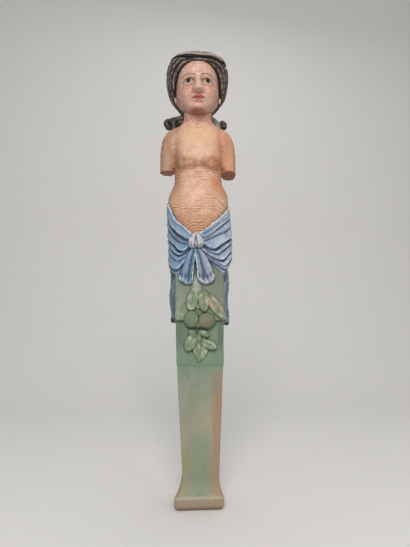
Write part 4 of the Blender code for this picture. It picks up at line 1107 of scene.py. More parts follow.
class Recipe:
    """Builds a material's nodes from short steps."""

    def __init__(self, name):
        self.material = bpy.data.materials.new(name)
        self.material.use_nodes = True
        self.tree = self.material.node_tree
        self.shader = self.tree.nodes["Principled BSDF"]
        self.place = self.tree.nodes.new("ShaderNodeTexCoord").outputs["Object"]

    def feed(self, node, socket, value):
        """Links a socket to a node's input, or sets the input to a constant."""
        if isinstance(value, bpy.types.NodeSocket):
            self.tree.links.new(value, node.inputs[socket])
        elif value is not None:
            if node.inputs[socket].type == "RGBA" and len(value) == 3:
                value = (*value, 1.0)
            node.inputs[socket].default_value = value

    def value(self, name):
        """What the skin says at each point under this name."""
        node = self.tree.nodes.new("ShaderNodeAttribute")
        node.attribute_name = name
        return node.outputs["Fac"]

    def work(self, operation, a, b=None, c=None):
        """One step of arithmetic on numbers or sockets."""
        node = self.tree.nodes.new("ShaderNodeMath")
        node.operation = operation
        for socket, value in enumerate((a, b, c)):
            self.feed(node, socket, value)
        return node.outputs[0]

    def plus(self, a, b):
        return self.work("ADD", a, b)

    def minus(self, a, b):
        return self.work("SUBTRACT", a, b)

    def times(self, a, b):
        return self.work("MULTIPLY", a, b)

    def divided(self, a, b):
        return self.work("DIVIDE", a, b)

    def larger(self, a, b):
        return self.work("MAXIMUM", a, b)

    def unsigned(self, a):
        return self.work("ABSOLUTE", a)

    def smooth(self, value, low, high, out_low=0.0, out_high=1.0):
        """Goes smoothly from out_low to out_high while the value goes from low to high."""
        node = self.tree.nodes.new("ShaderNodeMapRange")
        node.interpolation_type = "SMOOTHSTEP"
        for socket, item in enumerate((value, low, high, out_low, out_high)):
            self.feed(node, socket, item)
        return node.outputs[0]

    def mix(self, share, a, b, blend="MIX"):
        """Colour a, with this share of colour b over it."""
        node = self.tree.nodes.new("ShaderNodeMix")
        node.data_type = "RGBA"
        node.blend_type = blend
        self.feed(node, 0, share)
        self.feed(node, 6, a)
        self.feed(node, 7, b)
        return node.outputs[2]

    def stretch(self, x, y, z):
        """The place on the object, stretched and in millimetres of the design."""
        node = self.tree.nodes.new("ShaderNodeVectorMath")
        node.operation = "MULTIPLY"
        self.feed(node, 0, self.place)
        node.inputs[1].default_value = (x / MM, y / MM, z / MM)
        return node.outputs[0]

    def noise(self, width, detail=3.0, rough=0.55, stretch=(1, 1, 1), shift=0.0):
        """Cloudy values from 0 to 1, with clouds about width millimetres across."""
        node = self.tree.nodes.new("ShaderNodeTexNoise")
        node.noise_dimensions = "4D"
        self.feed(node, "Vector", self.stretch(*(1 / (width * part) for part in stretch)))
        node.inputs["W"].default_value = shift
        node.inputs["Scale"].default_value = 1.0
        node.inputs["Detail"].default_value = detail
        node.inputs["Roughness"].default_value = rough
        return node.outputs["Fac"]

    def dots(self, spacing, size, shift):
        """Small round dots, 1 inside, one in each cell of the spacing."""
        node = self.tree.nodes.new("ShaderNodeTexVoronoi")
        node.voronoi_dimensions = "4D"
        self.feed(node, "Vector", self.stretch(*(1 / spacing,) * 3))
        node.inputs["W"].default_value = shift
        node.inputs["Scale"].default_value = 1.0
        return self.smooth(node.outputs["Distance"], size * 1.25 / spacing, size * 0.75 / spacing)

    def cracks(self, width, shift):
        """1 along the fine cracks between flakes of paint, about width millimetres across."""
        node = self.tree.nodes.new("ShaderNodeTexVoronoi")
        node.voronoi_dimensions = "4D"
        node.feature = "DISTANCE_TO_EDGE"
        self.feed(node, "Vector", self.stretch(*(1 / width,) * 3))
        node.inputs["W"].default_value = shift
        node.inputs["Scale"].default_value = 1.0
        return self.smooth(node.outputs["Distance"], 0.07, 0.0)

    def axes(self):
        """Places across, in depth and up, in millimetres of the design."""
        node = self.tree.nodes.new("ShaderNodeSeparateXYZ")
        self.feed(node, 0, self.stretch(1, 1, 1))
        return node.outputs

    def bump(self, height, millimetres):
        """A fine roughness, as deep as this where the height goes from 0 to 1."""
        node = self.tree.nodes.new("ShaderNodeBump")
        node.inputs["Strength"].default_value = 1.0
        node.inputs["Distance"].default_value = millimetres * MM
        self.feed(node, "Height", height)
        return node.outputs[0]


def near(recipe, x, z, radius_x, radius_z, soft=0.35):
    """1 inside an oval of the front view, in millimetres, fading at its edge."""
    across, _, up = recipe.axes()
    dx = recipe.divided(recipe.minus(across, x), radius_x)
    dz = recipe.divided(recipe.minus(up, z), radius_z)
    reach = recipe.plus(recipe.times(dx, dx), recipe.times(dz, dz))
    return recipe.smooth(reach, 1 + soft, 1 - soft)


def flesh_colour(recipe, colours):
    """Body paint: stained and cracked, brown in the chisel's strokes and pale between them as painted shade
    and highlight, with painted shade in its hollows.
    """
    hollow, broad = recipe.value("hollow"), recipe.value("hollow_broad")
    across, _, up = recipe.axes()
    mottle = recipe.noise(14, 4, 0.6)
    colour = recipe.mix(recipe.smooth(mottle, 0.38, 0.66), colours.flesh, linear(196, 150, 126))
    pale = recipe.noise(9, 4, 0.6, shift=2.0)
    colour = recipe.mix(recipe.smooth(pale, 0.54, 0.7, 0, 0.6), colour, linear(226, 198, 172))
    ochre = recipe.noise(22, 3, 0.5, shift=3.1)
    colour = recipe.mix(recipe.smooth(ochre, 0.54, 0.72, 0, 0.4), colour, linear(206, 170, 118))
    # Painted shade: browner to the right, under the bust, low on the belly and at the neck; darker towards
    # the left edge too
    above_hips = recipe.smooth(up, FIGURE_BASE + 130, FIGURE_BASE + 150, 0.25, 1.0)
    right = recipe.times(recipe.smooth(across, 14, 44, 0, 0.75), above_hips)
    colour = recipe.mix(right, colour, linear(180, 126, 94))
    left = recipe.times(recipe.smooth(across, -20, -38, 0, 0.85), above_hips)
    colour = recipe.mix(left, colour, linear(158, 122, 100))
    low = recipe.smooth(up, FIGURE_BASE + 116, FIGURE_BASE + 96, 0, 0.7)
    colour = recipe.mix(low, colour, linear(178, 130, 98))
    # Stains and painted shade: place, half width and half height, strength and colour. The first two rows are
    # painted shade under the bust, the fourth painted shade down the right flank, the others stains
    for x, z, wide, high, share, stain_and_painted_light in (
        (-24, 192, 21, 11, 0.7, (146, 98, 70)),
        (22, 192, 20, 11, 0.85, (148, 94, 62)),
        (-37, 128, 13, 24, 0.3, (216, 176, 134)),
        (31, 166, 12, 26, 0.6, (182, 114, 78)),
        (0, 138, 20, 22, 0.4, (214, 166, 150)),
        (0, 240, 26, 18, 0.4, (216, 178, 130)),
        (-30, 232, 16, 20, 0.6, (206, 170, 142)),
    ):
        there = near(recipe, x, FIGURE_BASE + z, wide, high, 0.9)
        there = recipe.times(there, recipe.smooth(pale, 0.4, 0.6, share, share * 0.4))
        colour = recipe.mix(there, colour, linear(*stain_and_painted_light))
    # Painted shade at the neck, under the head
    neck = recipe.smooth(up, FIGURE_BASE + 262, FIGURE_BASE + 276, 0, 0.65)
    colour = recipe.mix(neck, colour, linear(176, 128, 112))
    rim = recipe.smooth(recipe.unsigned(across), 54, 64, 0, 0.45)
    colour = recipe.mix(rim, colour, linear(158, 134, 106))
    # Painted shade in the broad and the narrow hollows
    colour = recipe.mix(recipe.smooth(broad, 0.1, 1.6, 0, 0.6), colour, colours.flesh_shade)
    colour = recipe.mix(recipe.smooth(hollow, 0.1, 0.6, 0, 0.6), colour, linear(144, 94, 68))
    # Brown in the strokes of the chisel as painted shade, and pale on the ridges between them as painted
    # highlight
    uneven = recipe.smooth(recipe.noise(3, 4, 0.7, shift=4.0), 0.2, 0.8, -0.5, 0.5)
    mark = recipe.plus(recipe.value("mark"), uneven)
    colour = recipe.mix(recipe.smooth(mark, 0.45, 1.1, 0, 0.5), colour, linear(234, 200, 174))
    colour = recipe.mix(recipe.smooth(mark, -0.35, -1.0, 0, 0.62), colour, linear(150, 98, 70))
    near_neck = recipe.smooth(up, FIGURE_BASE + 250, FIGURE_BASE + 270, 0.12, 0.5)
    crack = recipe.times(recipe.cracks(6, 6.0), near_neck)
    colour = recipe.mix(crack, colour, linear(104, 66, 52))
    holes = recipe.times(recipe.dots(6, 1.0, 8.0), recipe.smooth(pale, 0.48, 0.54, 1.0, 0.0))
    chest = recipe.smooth(up, FIGURE_BASE + 200, FIGURE_BASE + 230)
    over_hips = recipe.smooth(up, FIGURE_BASE + 100, FIGURE_BASE + 120, 0, 0.9)
    belly = recipe.times(recipe.smooth(up, FIGURE_BASE + 205, FIGURE_BASE + 195), over_hips)
    holes = recipe.times(holes, recipe.larger(chest, belly))
    return recipe.mix(recipe.times(holes, 0.85), colour, linear(92, 56, 40))


def face_colour(recipe, colours):
    """Face paint: worn and finely cracked, with reddened cheeks."""
    across, _, up = recipe.axes()
    side = recipe.unsigned(across)
    chin = FIGURE_BASE + CHIN
    mottle = recipe.noise(9, 5, 0.65, shift=7.0)
    colour = recipe.mix(recipe.smooth(mottle, 0.4, 0.62, 0, 0.8), colours.face, linear(212, 176, 158))
    stain_and_painted_light = recipe.noise(6, 4, 0.65, shift=7.5)
    colour = recipe.mix(recipe.smooth(stain_and_painted_light, 0.52, 0.72, 0, 0.6), colour, linear(168, 118, 98))
    hollow = recipe.value("hollow")
    # Painted shade in the hollows, painted highlights on the proud parts
    colour = recipe.mix(recipe.smooth(hollow, 0.03, 0.5, 0, 0.7), colour, linear(146, 92, 74))
    proud = recipe.times(recipe.smooth(hollow, -0.1, -0.5), recipe.smooth(stain_and_painted_light, 0.5, 0.4, 0, 0.6))
    colour = recipe.mix(proud, colour, linear(232, 206, 188))
    for sign in (-1, 1):
        cheek = near(recipe, sign * 22, chin + 34, 13, 12, 0.9)
        cheek = recipe.times(cheek, recipe.smooth(mottle, 0.3, 0.6, 0.5, 0.2))
        colour = recipe.mix(cheek, colour, colours.blush)
    # Painted shade under the chin
    throat = recipe.smooth(up, chin + 6, chin - 2, 0, 0.8)
    colour = recipe.mix(throat, colour, linear(132, 76, 58))
    colour = painted_features(recipe, colours, colour, side, up, chin)
    crack = recipe.times(recipe.cracks(7, 7.0), recipe.smooth(stain_and_painted_light, 0.35, 0.6, 0.05, 0.35))
    colour = recipe.mix(crack, colour, linear(98, 64, 54))
    specks = recipe.times(recipe.dots(7, 0.7, 9.0), recipe.smooth(mottle, 0.5, 0.4, 0.0, 0.8))
    return recipe.mix(specks, colour, linear(88, 58, 48))


def arc_line(recipe, side, up, centre, half, height, rise, thick):
    """A painted stroke: an arc over centre, as wide as two halves, as thick as it says."""
    dx = recipe.divided(recipe.minus(side, centre), half)
    inside = recipe.minus(1.0, recipe.times(dx, dx))
    arc = recipe.work("MULTIPLY_ADD", inside, rise, height)
    away = recipe.unsigned(recipe.minus(up, arc))
    line = recipe.smooth(away, thick, thick * 0.45)
    return recipe.times(line, recipe.smooth(inside, -0.05, 0.12))


def painted_features(recipe, colours, colour, side, up, chin):
    """Lips, eyes and brows, at their own heights over the chin, which are not scaled with the carved face, so
    they sit up to about 2 mm above the carved eyes and lips.
    """
    dx = recipe.divided(side, 11.2)
    mouth = recipe.minus(1.0, recipe.times(dx, dx))
    top = recipe.work("MULTIPLY_ADD", mouth, 5.0, chin + 19.4)
    low = recipe.work("MULTIPLY_ADD", mouth, -5.4, chin + 19.6)
    lips = recipe.times(
        recipe.smooth(recipe.minus(top, up), 0.0, 0.7),
        recipe.smooth(recipe.minus(up, low), 0.0, 0.7),
    )
    lips = recipe.times(lips, recipe.smooth(mouth, 0.0, 0.08))
    colour = recipe.mix(recipe.times(lips, 0.9), colour, colours.lips)
    seam = arc_line(recipe, side, up, 0.0, MOUTH_HALF, chin + 19.5, -0.4, 0.8)
    colour = recipe.mix(recipe.times(seam, 0.75), colour, linear(96, 40, 34))
    # The eye between its lids, then the iris, the lash line and the brow
    dx = recipe.divided(recipe.minus(side, EYE_ACROSS), EYE_HALF)
    inside = recipe.minus(1.0, recipe.times(dx, dx))
    upper = recipe.work("MULTIPLY_ADD", inside, 4.2, chin + 51.4)
    lower = recipe.work("MULTIPLY_ADD", inside, -3.4, chin + 51.6)
    eye = recipe.times(
        recipe.smooth(recipe.minus(upper, up), 0.0, 0.6),
        recipe.smooth(recipe.minus(up, lower), 0.0, 0.6),
    )
    eye = recipe.times(eye, recipe.smooth(inside, 0.0, 0.05))
    colour = recipe.mix(eye, colour, colours.eye_white)
    ix = recipe.minus(side, 16.2)
    iz = recipe.minus(up, chin + 52.2)
    reach = recipe.work("SQRT", recipe.plus(recipe.times(ix, ix), recipe.times(iz, iz)))
    iris = recipe.times(recipe.smooth(reach, 4.2, 3.5), eye)
    colour = recipe.mix(iris, colour, colours.iris)
    pupil = recipe.times(recipe.smooth(reach, 2.1, 1.6), eye)
    colour = recipe.mix(pupil, colour, linear(18, 16, 20))
    lash = arc_line(recipe, side, up, EYE_ACROSS, 9.6, chin + 51.5, 4.4, 1.5)
    colour = recipe.mix(recipe.times(lash, 0.92), colour, colours.line)
    rim = arc_line(recipe, side, up, EYE_ACROSS, EYE_HALF, chin + 51.5, -3.5, 0.7)
    colour = recipe.mix(recipe.times(rim, 0.55), colour, linear(120, 70, 64))
    brow = arc_line(recipe, side, up, 17.0, 12.5, chin + 59.5, 3.0, 1.5)
    return recipe.mix(recipe.times(brow, 0.8), colour, linear(78, 54, 46))


def hair_colour(recipe, colours):
    """Nearly black in the grooves as painted shade, dry-brushed grey on the locks as painted highlights."""
    hollow, fine = recipe.value("hollow"), recipe.value("hollow_fine")
    light, dark = recipe.value("light"), recipe.value("dark")
    _, _, up = recipe.axes()
    dry = recipe.noise(5, 5, 0.7, shift=11.0)
    brown = recipe.noise(15, 3, 0.5, shift=12.0)
    colour = recipe.mix(recipe.smooth(brown, 0.4, 0.62), linear(56, 45, 42), linear(82, 66, 56))
    crown = recipe.smooth(up, FIGURE_BASE + 370, FIGURE_BASE + 378, 0, 0.9)
    colour = recipe.mix(crown, colour, linear(156, 142, 134))
    # Painted highlights, dry-brushed grey, on the tops of the locks and their proud parts
    top = recipe.times(recipe.smooth(light, 0.2, 0.9), recipe.smooth(dry, 0.42, 0.6))
    colour = recipe.mix(recipe.times(top, 0.8), colour, colours.hair_highlight)
    proud = recipe.times(recipe.smooth(fine, -0.03, -0.16), recipe.smooth(dry, 0.46, 0.62))
    colour = recipe.mix(recipe.times(proud, 0.75), colour, linear(166, 158, 148))
    # Painted shade in the grooves
    colour = recipe.mix(recipe.smooth(dark, 0.0, 0.5), colour, colours.hair)
    colour = recipe.mix(recipe.smooth(hollow, 0.05, 0.5, 0, 0.92), colour, linear(18, 14, 13))
    colour = recipe.mix(recipe.smooth(fine, 0.02, 0.12, 0, 0.7), colour, colours.hair)
    # The lock on the left shoulder is nearly black, the one on the right is grey as a painted highlight
    left = near(recipe, -44, FIGURE_BASE + 276, 17, 15, 0.4)
    colour = recipe.mix(recipe.times(left, 0.8), colour, linear(36, 27, 25))
    right = recipe.times(near(recipe, 33, FIGURE_BASE + 277, 9, 12, 0.5), recipe.smooth(dark, 0.5, 0.1))
    colour = recipe.mix(recipe.times(right, 0.7), colour, linear(136, 130, 128))
    curl = near(recipe, 46, FIGURE_BASE + 276, 7, 12, 0.5)
    return recipe.mix(recipe.times(curl, 0.75), colour, linear(30, 24, 23))


def cloth_colour(recipe, colours):
    """Blue cloth: pale on the folds as painted highlights, dark between them as painted shade."""
    hollow, fine = recipe.value("hollow"), recipe.value("hollow_fine")
    light, dark = recipe.value("light"), recipe.value("dark")
    across, _, up = recipe.axes()
    cloud = recipe.noise(12, 4, 0.6, shift=21.0)
    colour = recipe.mix(recipe.smooth(cloud, 0.36, 0.64), colours.cloth, linear(118, 146, 170))
    lilac = recipe.times(recipe.smooth(across, -2, 22), recipe.smooth(cloud, 0.3, 0.58, 0.2, 1.0))
    colour = recipe.mix(recipe.times(lilac, 0.6), colour, linear(148, 156, 180))
    lap = near(recipe, 10, FIGURE_BASE + 16, 15, 26, 0.5)
    colour = recipe.mix(recipe.times(lap, 0.65), colour, linear(148, 149, 164))
    pale = recipe.times(recipe.smooth(across, 12, 46, 0.12, 0.7), recipe.smooth(cloud, 0.62, 0.4))
    colour = recipe.mix(pale, colour, linear(186, 200, 212))
    # Painted highlights on the ridges of the folds and their proud parts, in patches
    worn = recipe.smooth(recipe.noise(7, 5, 0.7, shift=22.0), 0.44, 0.58)
    ridge = recipe.times(recipe.smooth(light, 0.3, 1.0), worn)
    colour = recipe.mix(ridge, colour, colours.cloth_highlight)
    proud = recipe.times(recipe.smooth(fine, -0.04, -0.2, 0, 0.6), worn)
    colour = recipe.mix(proud, colour, linear(176, 184, 194))
    # Painted shade in the hollows of the folds
    colour = recipe.mix(recipe.smooth(dark, 0.05, 0.8, 0, 0.8), colour, colours.cloth_shade)
    colour = recipe.mix(recipe.smooth(hollow, 0.12, 0.8, 0, 0.85), colour, linear(26, 36, 56))
    rub = recipe.smooth(recipe.noise(4, 4, 0.7, shift=23.0), 0.58, 0.7, 0, 0.45)
    colour = recipe.mix(rub, colour, linear(126, 120, 112))
    # Painted shade on the cloth that falls down the sides of the block
    beside = recipe.smooth(recipe.unsigned(across), 39, 42)
    fall = recipe.times(beside, recipe.smooth(up, FIGURE_BASE + 32, FIGURE_BASE, 0, 0.65))
    colour = recipe.mix(fall, colour, linear(80, 102, 120))
    low = recipe.smooth(up, FIGURE_BASE + 5, FIGURE_BASE - 28, 0, 0.5)
    return recipe.mix(low, colour, linear(90, 104, 104))


def hem_colour(recipe, colours):
    """The pale rolled edge and the knot."""
    hollow, fine = recipe.value("hollow"), recipe.value("hollow_fine")
    cloud = recipe.noise(6, 4, 0.65, shift=31.0)
    colour = recipe.mix(recipe.smooth(cloud, 0.4, 0.62), colours.hem, linear(166, 168, 182))
    # Painted shade in the hollows of the rolled edge and the knot
    colour = recipe.mix(recipe.smooth(fine, 0.0, 0.1, 0, 0.4), colour, linear(104, 108, 128))
    return recipe.mix(recipe.smooth(hollow, 0.0, 0.5, 0, 0.9), colour, linear(70, 68, 84))


def green_colour(recipe, colours):
    """The pilaster: green above, rubbed to olive and red brown towards the foot."""
    hollow, broad = recipe.value("hollow"), recipe.value("hollow_broad")
    across, _, up = recipe.axes()
    cloud = recipe.noise(24, 5, 0.6, (1, 1, 2.0), 41.0)
    colour = recipe.mix(recipe.smooth(cloud, 0.38, 0.62), colours.green, linear(130, 140, 124))
    block = recipe.smooth(up, 300, 330, 0, 0.6)
    colour = recipe.mix(block, colour, linear(114, 123, 113))
    shaft = recipe.times(recipe.smooth(up, 190, 120), recipe.smooth(cloud, 0.2, 0.55, 0.5, 1.0))
    colour = recipe.mix(recipe.times(shaft, 0.7), colour, linear(156, 149, 128))
    low = recipe.smooth(up, 105, 60, 0, 0.6)
    colour = recipe.mix(low, colour, colours.olive)
    streak = recipe.noise(9, 5, 0.6, (1, 1, 6), 42.0)
    red = recipe.plus(recipe.smooth(across, -2, 30), recipe.smooth(streak, 0.3, 0.7, -0.35, 0.35))
    red = recipe.times(recipe.smooth(red, 0.3, 1.0), recipe.smooth(up, 206, 184))
    colour = recipe.mix(recipe.times(red, 0.75), colour, linear(152, 118, 98))
    patch = recipe.smooth(recipe.noise(7, 5, 0.7, (1, 1, 1.6), 43.0), 0.6, 0.68, 0, 0.45)
    colour = recipe.mix(patch, colour, linear(150, 122, 98))
    # The flare is green in the middle, the band of the foot is rubbed brown
    middle = recipe.smooth(recipe.unsigned(recipe.plus(across, 4)), 26, 10)
    middle = recipe.times(middle, recipe.smooth(streak, 0.3, 0.55, 0.35, 0.9))
    middle = recipe.times(middle, recipe.smooth(up, 130, 80))
    colour = recipe.mix(middle, colour, linear(122, 138, 114))
    rub = recipe.noise(7, 4, 0.6, (4, 1, 0.5), 44.0)
    band = recipe.times(recipe.smooth(up, 19, 14), recipe.smooth(rub, 0.3, 0.6, 0.6, 1.0))
    colour = recipe.mix(band, colour, linear(152, 134, 114))
    worn = recipe.times(recipe.smooth(up, 14, 17), recipe.smooth(up, 21, 18))
    colour = recipe.mix(recipe.times(worn, 0.7), colour, linear(166, 160, 136))
    colour = recipe.mix(recipe.smooth(up, 8, 1, 0, 0.7), colour, linear(112, 84, 66))
    on_panel = recipe.smooth(up, PANEL_BASE - 8, PANEL_BASE)
    on_block = recipe.smooth(up, BLOCK_BASE - 4, BLOCK_BASE + 4)
    # Painted shade on the right of the block
    right = recipe.times(recipe.smooth(across, 6, 30, 0, 0.5), on_block)
    colour = recipe.mix(right, colour, linear(100, 106, 94))
    panel = recipe.times(on_panel, recipe.smooth(up, BLOCK_BASE, BLOCK_BASE - 6, 0, 0.5))
    colour = recipe.mix(panel, colour, linear(96, 126, 100))
    for x, wide in ((-35, 12), (33, 6)):
        shade = recipe.times(near(recipe, x, 256, wide, 24, 0.9), 0.5)
        colour = recipe.mix(shade, colour, linear(70, 82, 74))
    # Painted shade in the broad hollows of the panel and in all hollows
    edge = recipe.times(recipe.smooth(broad, 0.4, 2.4, 0, 0.75), on_panel)
    colour = recipe.mix(edge, colour, linear(70, 90, 66))
    colour = recipe.mix(recipe.smooth(hollow, 0.2, 1.1, 0, 0.8), colour, colours.green_shade)
    # A painted highlight between the two ends of the cloth
    between = recipe.times(near(recipe, -5, 334, 9, 12, 0.5), 0.7)
    return recipe.mix(between, colour, linear(150, 162, 148))


def leaf_colour(recipe, colours):
    """Leaves: pale on their edges as painted highlights, dark in their hollows as painted shade, tan on the
    right.
    """
    hollow = recipe.value("hollow")
    light, dark = recipe.value("light"), recipe.value("dark")
    across, _, up = recipe.axes()
    cloud = recipe.noise(10, 4, 0.6, shift=51.0)
    colour = recipe.mix(recipe.smooth(cloud, 0.36, 0.66), linear(100, 124, 98), linear(140, 148, 124))
    tan = recipe.times(recipe.smooth(across, 1, 16), recipe.smooth(up, 280, 300))
    tan = recipe.times(tan, recipe.smooth(cloud, 0.36, 0.6, 0.2, 0.8))
    colour = recipe.mix(tan, colour, linear(168, 144, 120))
    # Painted highlights on the edges, in patches, and on the proud parts
    worn = recipe.smooth(recipe.noise(4, 4, 0.65, shift=52.0), 0.3, 0.62)
    touch = recipe.times(recipe.smooth(light, 0.3, 1.0, 0, 0.5), worn)
    colour = recipe.mix(touch, colour, colours.leaf_highlight)
    pale = recipe.times(recipe.smooth(cloud, 0.5, 0.62), recipe.smooth(hollow, 0.1, -0.2, 0, 0.75))
    colour = recipe.mix(pale, colour, linear(168, 175, 158))
    # Painted shade along the midribs, at the bases and in the hollows
    colour = recipe.mix(recipe.smooth(dark, 0.2, 1.0, 0, 0.65), colour, linear(74, 98, 66))
    colour = recipe.mix(recipe.smooth(hollow, 0.15, 0.9, 0, 0.75), colour, colours.green_shade)
    # A painted highlight between the two ends of the cloth
    return recipe.mix(near(recipe, -5, 332, 9, 13, 0.5), colour, linear(150, 162, 148))


def fruit_colour(recipe, colours):
    """The two fruits: dull green, the right one worn to tan."""
    hollow = recipe.value("hollow")
    across, _, _ = recipe.axes()
    colour = recipe.mix(recipe.noise(12, 4, 0.6, shift=61.0), linear(94, 116, 93), linear(114, 126, 102))
    worn = recipe.smooth(recipe.noise(5, 4, 0.65, shift=62.0), 0.4, 0.56, 0.15, 0.85)
    tan = recipe.times(near(recipe, 9, 275, 10, 9, 0.9), worn)
    colour = recipe.mix(tan, colour, linear(146, 122, 98))
    # A painted highlight on the tops of the fruits and their rims
    painted_highlight = recipe.times(recipe.smooth(recipe.value("light"), 0.3, 0.8, 0, 0.5), worn)
    colour = recipe.mix(painted_highlight, colour, linear(158, 162, 138))
    # Painted shade to the right and in the hollows
    colour = recipe.mix(recipe.smooth(across, 1, 9, 0, 0.35), colour, linear(84, 88, 72))
    return recipe.mix(recipe.smooth(hollow, 0.0, 0.5, 0, 0.9), colour, colours.green_shade)


def old_paint(colours):
    """Old oil paint in its several colours, worn, cracked and dusty, over brown wood, with painted highlights
    and painted shade on its forms.
    """
    recipe = Recipe("old_paint")
    colour = flesh_colour(recipe, colours)
    layers = (
        ("face", face_colour),
        ("green", green_colour),
        ("leaf", leaf_colour),
        ("fruit", fruit_colour),
        ("cloth", cloth_colour),
        ("hem", hem_colour),
        ("hair", hair_colour),
    )
    for name, make in layers:
        edge = recipe.plus(recipe.value(name), recipe.smooth(recipe.noise(3, 2), 0.3, 0.7, -0.18, 0.18))
        colour = recipe.mix(recipe.smooth(edge, 0.38, 0.62), colour, make(recipe, colours))
    # Paint lost on the proud edges, and wood showing
    proud = recipe.smooth(recipe.value("hollow"), -0.55, -1.5)
    loss = recipe.noise(6, 6, 0.7, shift=71.0)
    bare = recipe.times(proud, recipe.smooth(loss, 0.54, 0.6))
    shoulder = near(recipe, -61, FIGURE_BASE + 238, 5, 13, 0.7)
    shoulder = recipe.times(shoulder, recipe.smooth(loss, 0.46, 0.56, 0, 0.8))
    bare = recipe.larger(bare, shoulder)
    wood = recipe.mix(recipe.noise(2, 4, 0.6, (1, 1, 12), 72.0), colours.wood, linear(140, 100, 72))
    colour = recipe.mix(bare, colour, wood)
    sawn = recipe.smooth(recipe.value("sawn"), 0.4, 0.6)
    colour = recipe.mix(sawn, colour, colours.end_grain)
    _, depth, up = recipe.axes()
    behind = recipe.smooth(depth, BACK - 1.2, BACK - 0.4)
    under = recipe.smooth(up, 0.8, 0.3)
    unpainted = recipe.larger(behind, under)
    colour = recipe.mix(unpainted, colour, wood)
    # Worm holes, grime and dust
    fewer_below = recipe.smooth(up, FIGURE_BASE + 90, FIGURE_BASE + 140, 0.3, 1.0)
    holes = recipe.times(recipe.dots(17, 1.0, 81.0), fewer_below)
    colour = recipe.mix(recipe.times(holes, 0.8), colour, linear(70, 44, 32))
    grime = recipe.noise(5, 5, 0.7, shift=82.0)
    colour = recipe.mix(recipe.smooth(grime, 0.5, 0.8, 0, 0.3), colour, linear(112, 92, 74))
    dust = recipe.noise(1.1, 3, 0.6, shift=83.0)
    specks = recipe.mix(dust, linear(120, 112, 104), linear(255, 252, 246))
    colour = recipe.mix(0.35, colour, specks, "OVERLAY")
    recipe.feed(recipe.shader, "Base Color", colour)
    rough = recipe.smooth(recipe.noise(7, 4, 0.6, shift=84.0), 0.3, 0.7, 0.42, 0.62)
    rough = recipe.larger(rough, recipe.times(recipe.larger(bare, unpainted), 0.8))
    recipe.feed(recipe.shader, "Roughness", rough)
    strokes = recipe.noise(1.3, 4, 0.65, (3, 3, 1), 85.0)
    height = recipe.minus(strokes, recipe.times(holes, 2.5))
    recipe.feed(recipe.shader, "Normal", recipe.bump(height, 0.35))
    recipe.shader.inputs["Specular IOR Level"].default_value = 0.35
    return recipe.material


class OBJECT_OT_carve_term_figure(bpy.types.Operator):
    """Carve the figure and its pilaster as one skin, and paint it"""

    bl_idname = "object.carve_term_figure"
    bl_label = "Carve and Paint Figure"

    def execute(self, context):
        figure = carve_blanks(context.scene.term_sizes)
        finish_skin(figure, context.scene.term_sizes)
        figure.data.materials.append(old_paint(context.scene.term_colours))
        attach(figure, "root")
        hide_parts(NODE)
        return {"FINISHED"}


# The studio


def plain_material(name, colour):
    """The floor's pale paint, with a little unevenness."""
    recipe = Recipe(name)
    cloud = recipe.noise(140, 3, 0.5)
    shade = recipe.mix(cloud, tuple(part * 0.96 for part in colour), colour)
    recipe.feed(recipe.shader, "Base Color", shade)
    recipe.shader.inputs["Roughness"].default_value = 0.8
    return recipe.material


def floor_sweep(colour):
    """A floor that curves up into a backdrop behind the figure."""
    width, ahead, behind, height, bend = 9.0, 3.0, 1.6, 6.0, 0.9
    profile = [(-ahead, 0.0), (behind - bend, 0.0)]
    for step in range(1, 25):
        turn = math.pi / 2 * step / 24
        profile.append((behind - bend + bend * math.sin(turn), bend - bend * math.cos(turn)))
    profile.append((behind, height))
    points = [(x * width / 2, y, z) for y, z in profile for x in (-1, 1)]
    faces = [(2 * i, 2 * i + 1, 2 * i + 3, 2 * i + 2) for i in range(len(profile) - 1)]
    mesh = bpy.data.meshes.new("floor")
    mesh.from_pydata(points, [], faces)
    mesh.shade_smooth()
    mesh.materials.append(plain_material("pale_floor", colour))
    floor = bpy.data.objects.new("floor", mesh)
    bpy.context.scene.collection.objects.link(floor)
    return floor


# Name, place, width, power and colour of each lamp
LAMPS = (
    ("window", (-0.1, -1.95, 1.6), 1.2, 39.0, (1.0, 0.985, 0.965)),
    ("fill", (1.5, -1.3, 0.8), 1.6, 3.0, (1.0, 0.92, 0.84)),
    ("top", (0.2, 0.3, 2.4), 1.6, 10.0, (1.0, 1.0, 1.0)),
)


def soft_lamp(name, place, size, power, colour):
    """A round soft lamp that faces the figure's hips."""
    lamp = bpy.data.lights.new(name, "AREA")
    lamp.shape = "DISK"
    lamp.size = size
    lamp.energy = power
    lamp.color = colour
    holder = bpy.data.objects.new(name, lamp)
    holder.location = place
    aim = Vector((0.0, 0.0, HIGH.z * 0.6))
    holder.rotation_euler = (aim - Vector(place)).to_track_quat("-Z", "Y").to_euler()
    bpy.context.scene.collection.objects.link(holder)


def room_light(scene):
    """The even light that the room throws back."""
    world = bpy.data.worlds.new("soft_room")
    world.use_nodes = True
    sky = world.node_tree.nodes["Background"]
    sky.inputs["Color"].default_value = (0.93, 0.95, 1.0, 1.0)
    sky.inputs["Strength"].default_value = 0.33
    scene.world = world


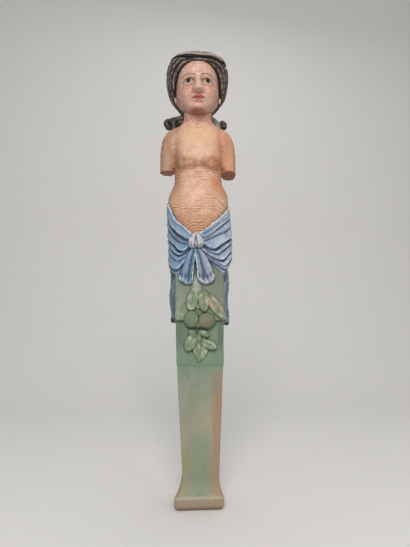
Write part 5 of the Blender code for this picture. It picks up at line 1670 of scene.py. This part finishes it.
def set_camera(scene, studio):
    """The view from low in front, a little to the left, looking slightly up."""
    camera = bpy.data.cameras.new("camera")
    camera.sensor_width = 36.0
    camera.lens = 27.0
    camera.clip_start = 0.01
    holder = bpy.data.objects.new("camera", camera)
    holder.location = (studio.sideways, -studio.distance, studio.eye_height)
    turn = Matrix.Rotation(-studio.turn, 4, "Z")
    tilt = Matrix.Rotation(math.pi / 2 + studio.pitch, 4, "X")
    roll = Matrix.Rotation(-studio.roll, 4, "Z")
    holder.rotation_euler = (turn @ tilt @ roll).to_euler()
    scene.collection.objects.link(holder)
    scene.camera = holder


class SCENE_OT_set_term_studio(bpy.types.Operator):
    """Set the pale floor, the soft lamps and the camera"""

    bl_idname = "scene.set_term_studio"
    bl_label = "Set Studio"

    def execute(self, context):
        studio = context.scene.term_studio
        floor_sweep(tuple(studio.floor))
        for settings in LAMPS:
            soft_lamp(*settings)
        room_light(context.scene)
        context.scene.view_settings.view_transform = "Standard"
        set_camera(context.scene, studio)
        return {"FINISHED"}


class VIEW3D_PT_term_figure(bpy.types.Panel):
    """Sidebar panel for the figure and its studio"""

    bl_label = "Term Figure"
    bl_idname = "VIEW3D_PT_term_figure"
    bl_space_type = "VIEW_3D"
    bl_region_type = "UI"
    bl_category = "Term Figure"

    def draw(self, context):
        for title, group in (
            ("Carving", context.scene.term_sizes),
            ("Paint", context.scene.term_colours),
            ("Studio", context.scene.term_studio),
        ):
            box = self.layout.box()
            box.label(text=title)
            for name in group.bl_rna.properties.keys():
                if name not in {"rna_type", "name"}:
                    box.prop(group, name)
        self.layout.operator(OBJECT_OT_carve_term_figure.bl_idname)
        self.layout.operator(SCENE_OT_set_term_studio.bl_idname)


CLASSES = (
    TermSizes,
    TermColours,
    TermStudio,
    OBJECT_OT_carve_term_figure,
    SCENE_OT_set_term_studio,
    VIEW3D_PT_term_figure,
)


def register():
    """Adds the classes and their settings to the scene."""
    for cls in CLASSES:
        bpy.utils.register_class(cls)
    bpy.types.Scene.term_sizes = PointerProperty(type=TermSizes)
    bpy.types.Scene.term_colours = PointerProperty(type=TermColours)
    bpy.types.Scene.term_studio = PointerProperty(type=TermStudio)


def unregister():
    """Takes them away again."""
    del bpy.types.Scene.term_studio
    del bpy.types.Scene.term_colours
    del bpy.types.Scene.term_sizes
    for cls in reversed(CLASSES):
        bpy.utils.unregister_class(cls)


def main():
    """Builds the figure and its studio."""
    register()
    bpy.ops.object.carve_term_figure()
    bpy.ops.scene.set_term_studio()


if __name__ == "__main__":
    main()
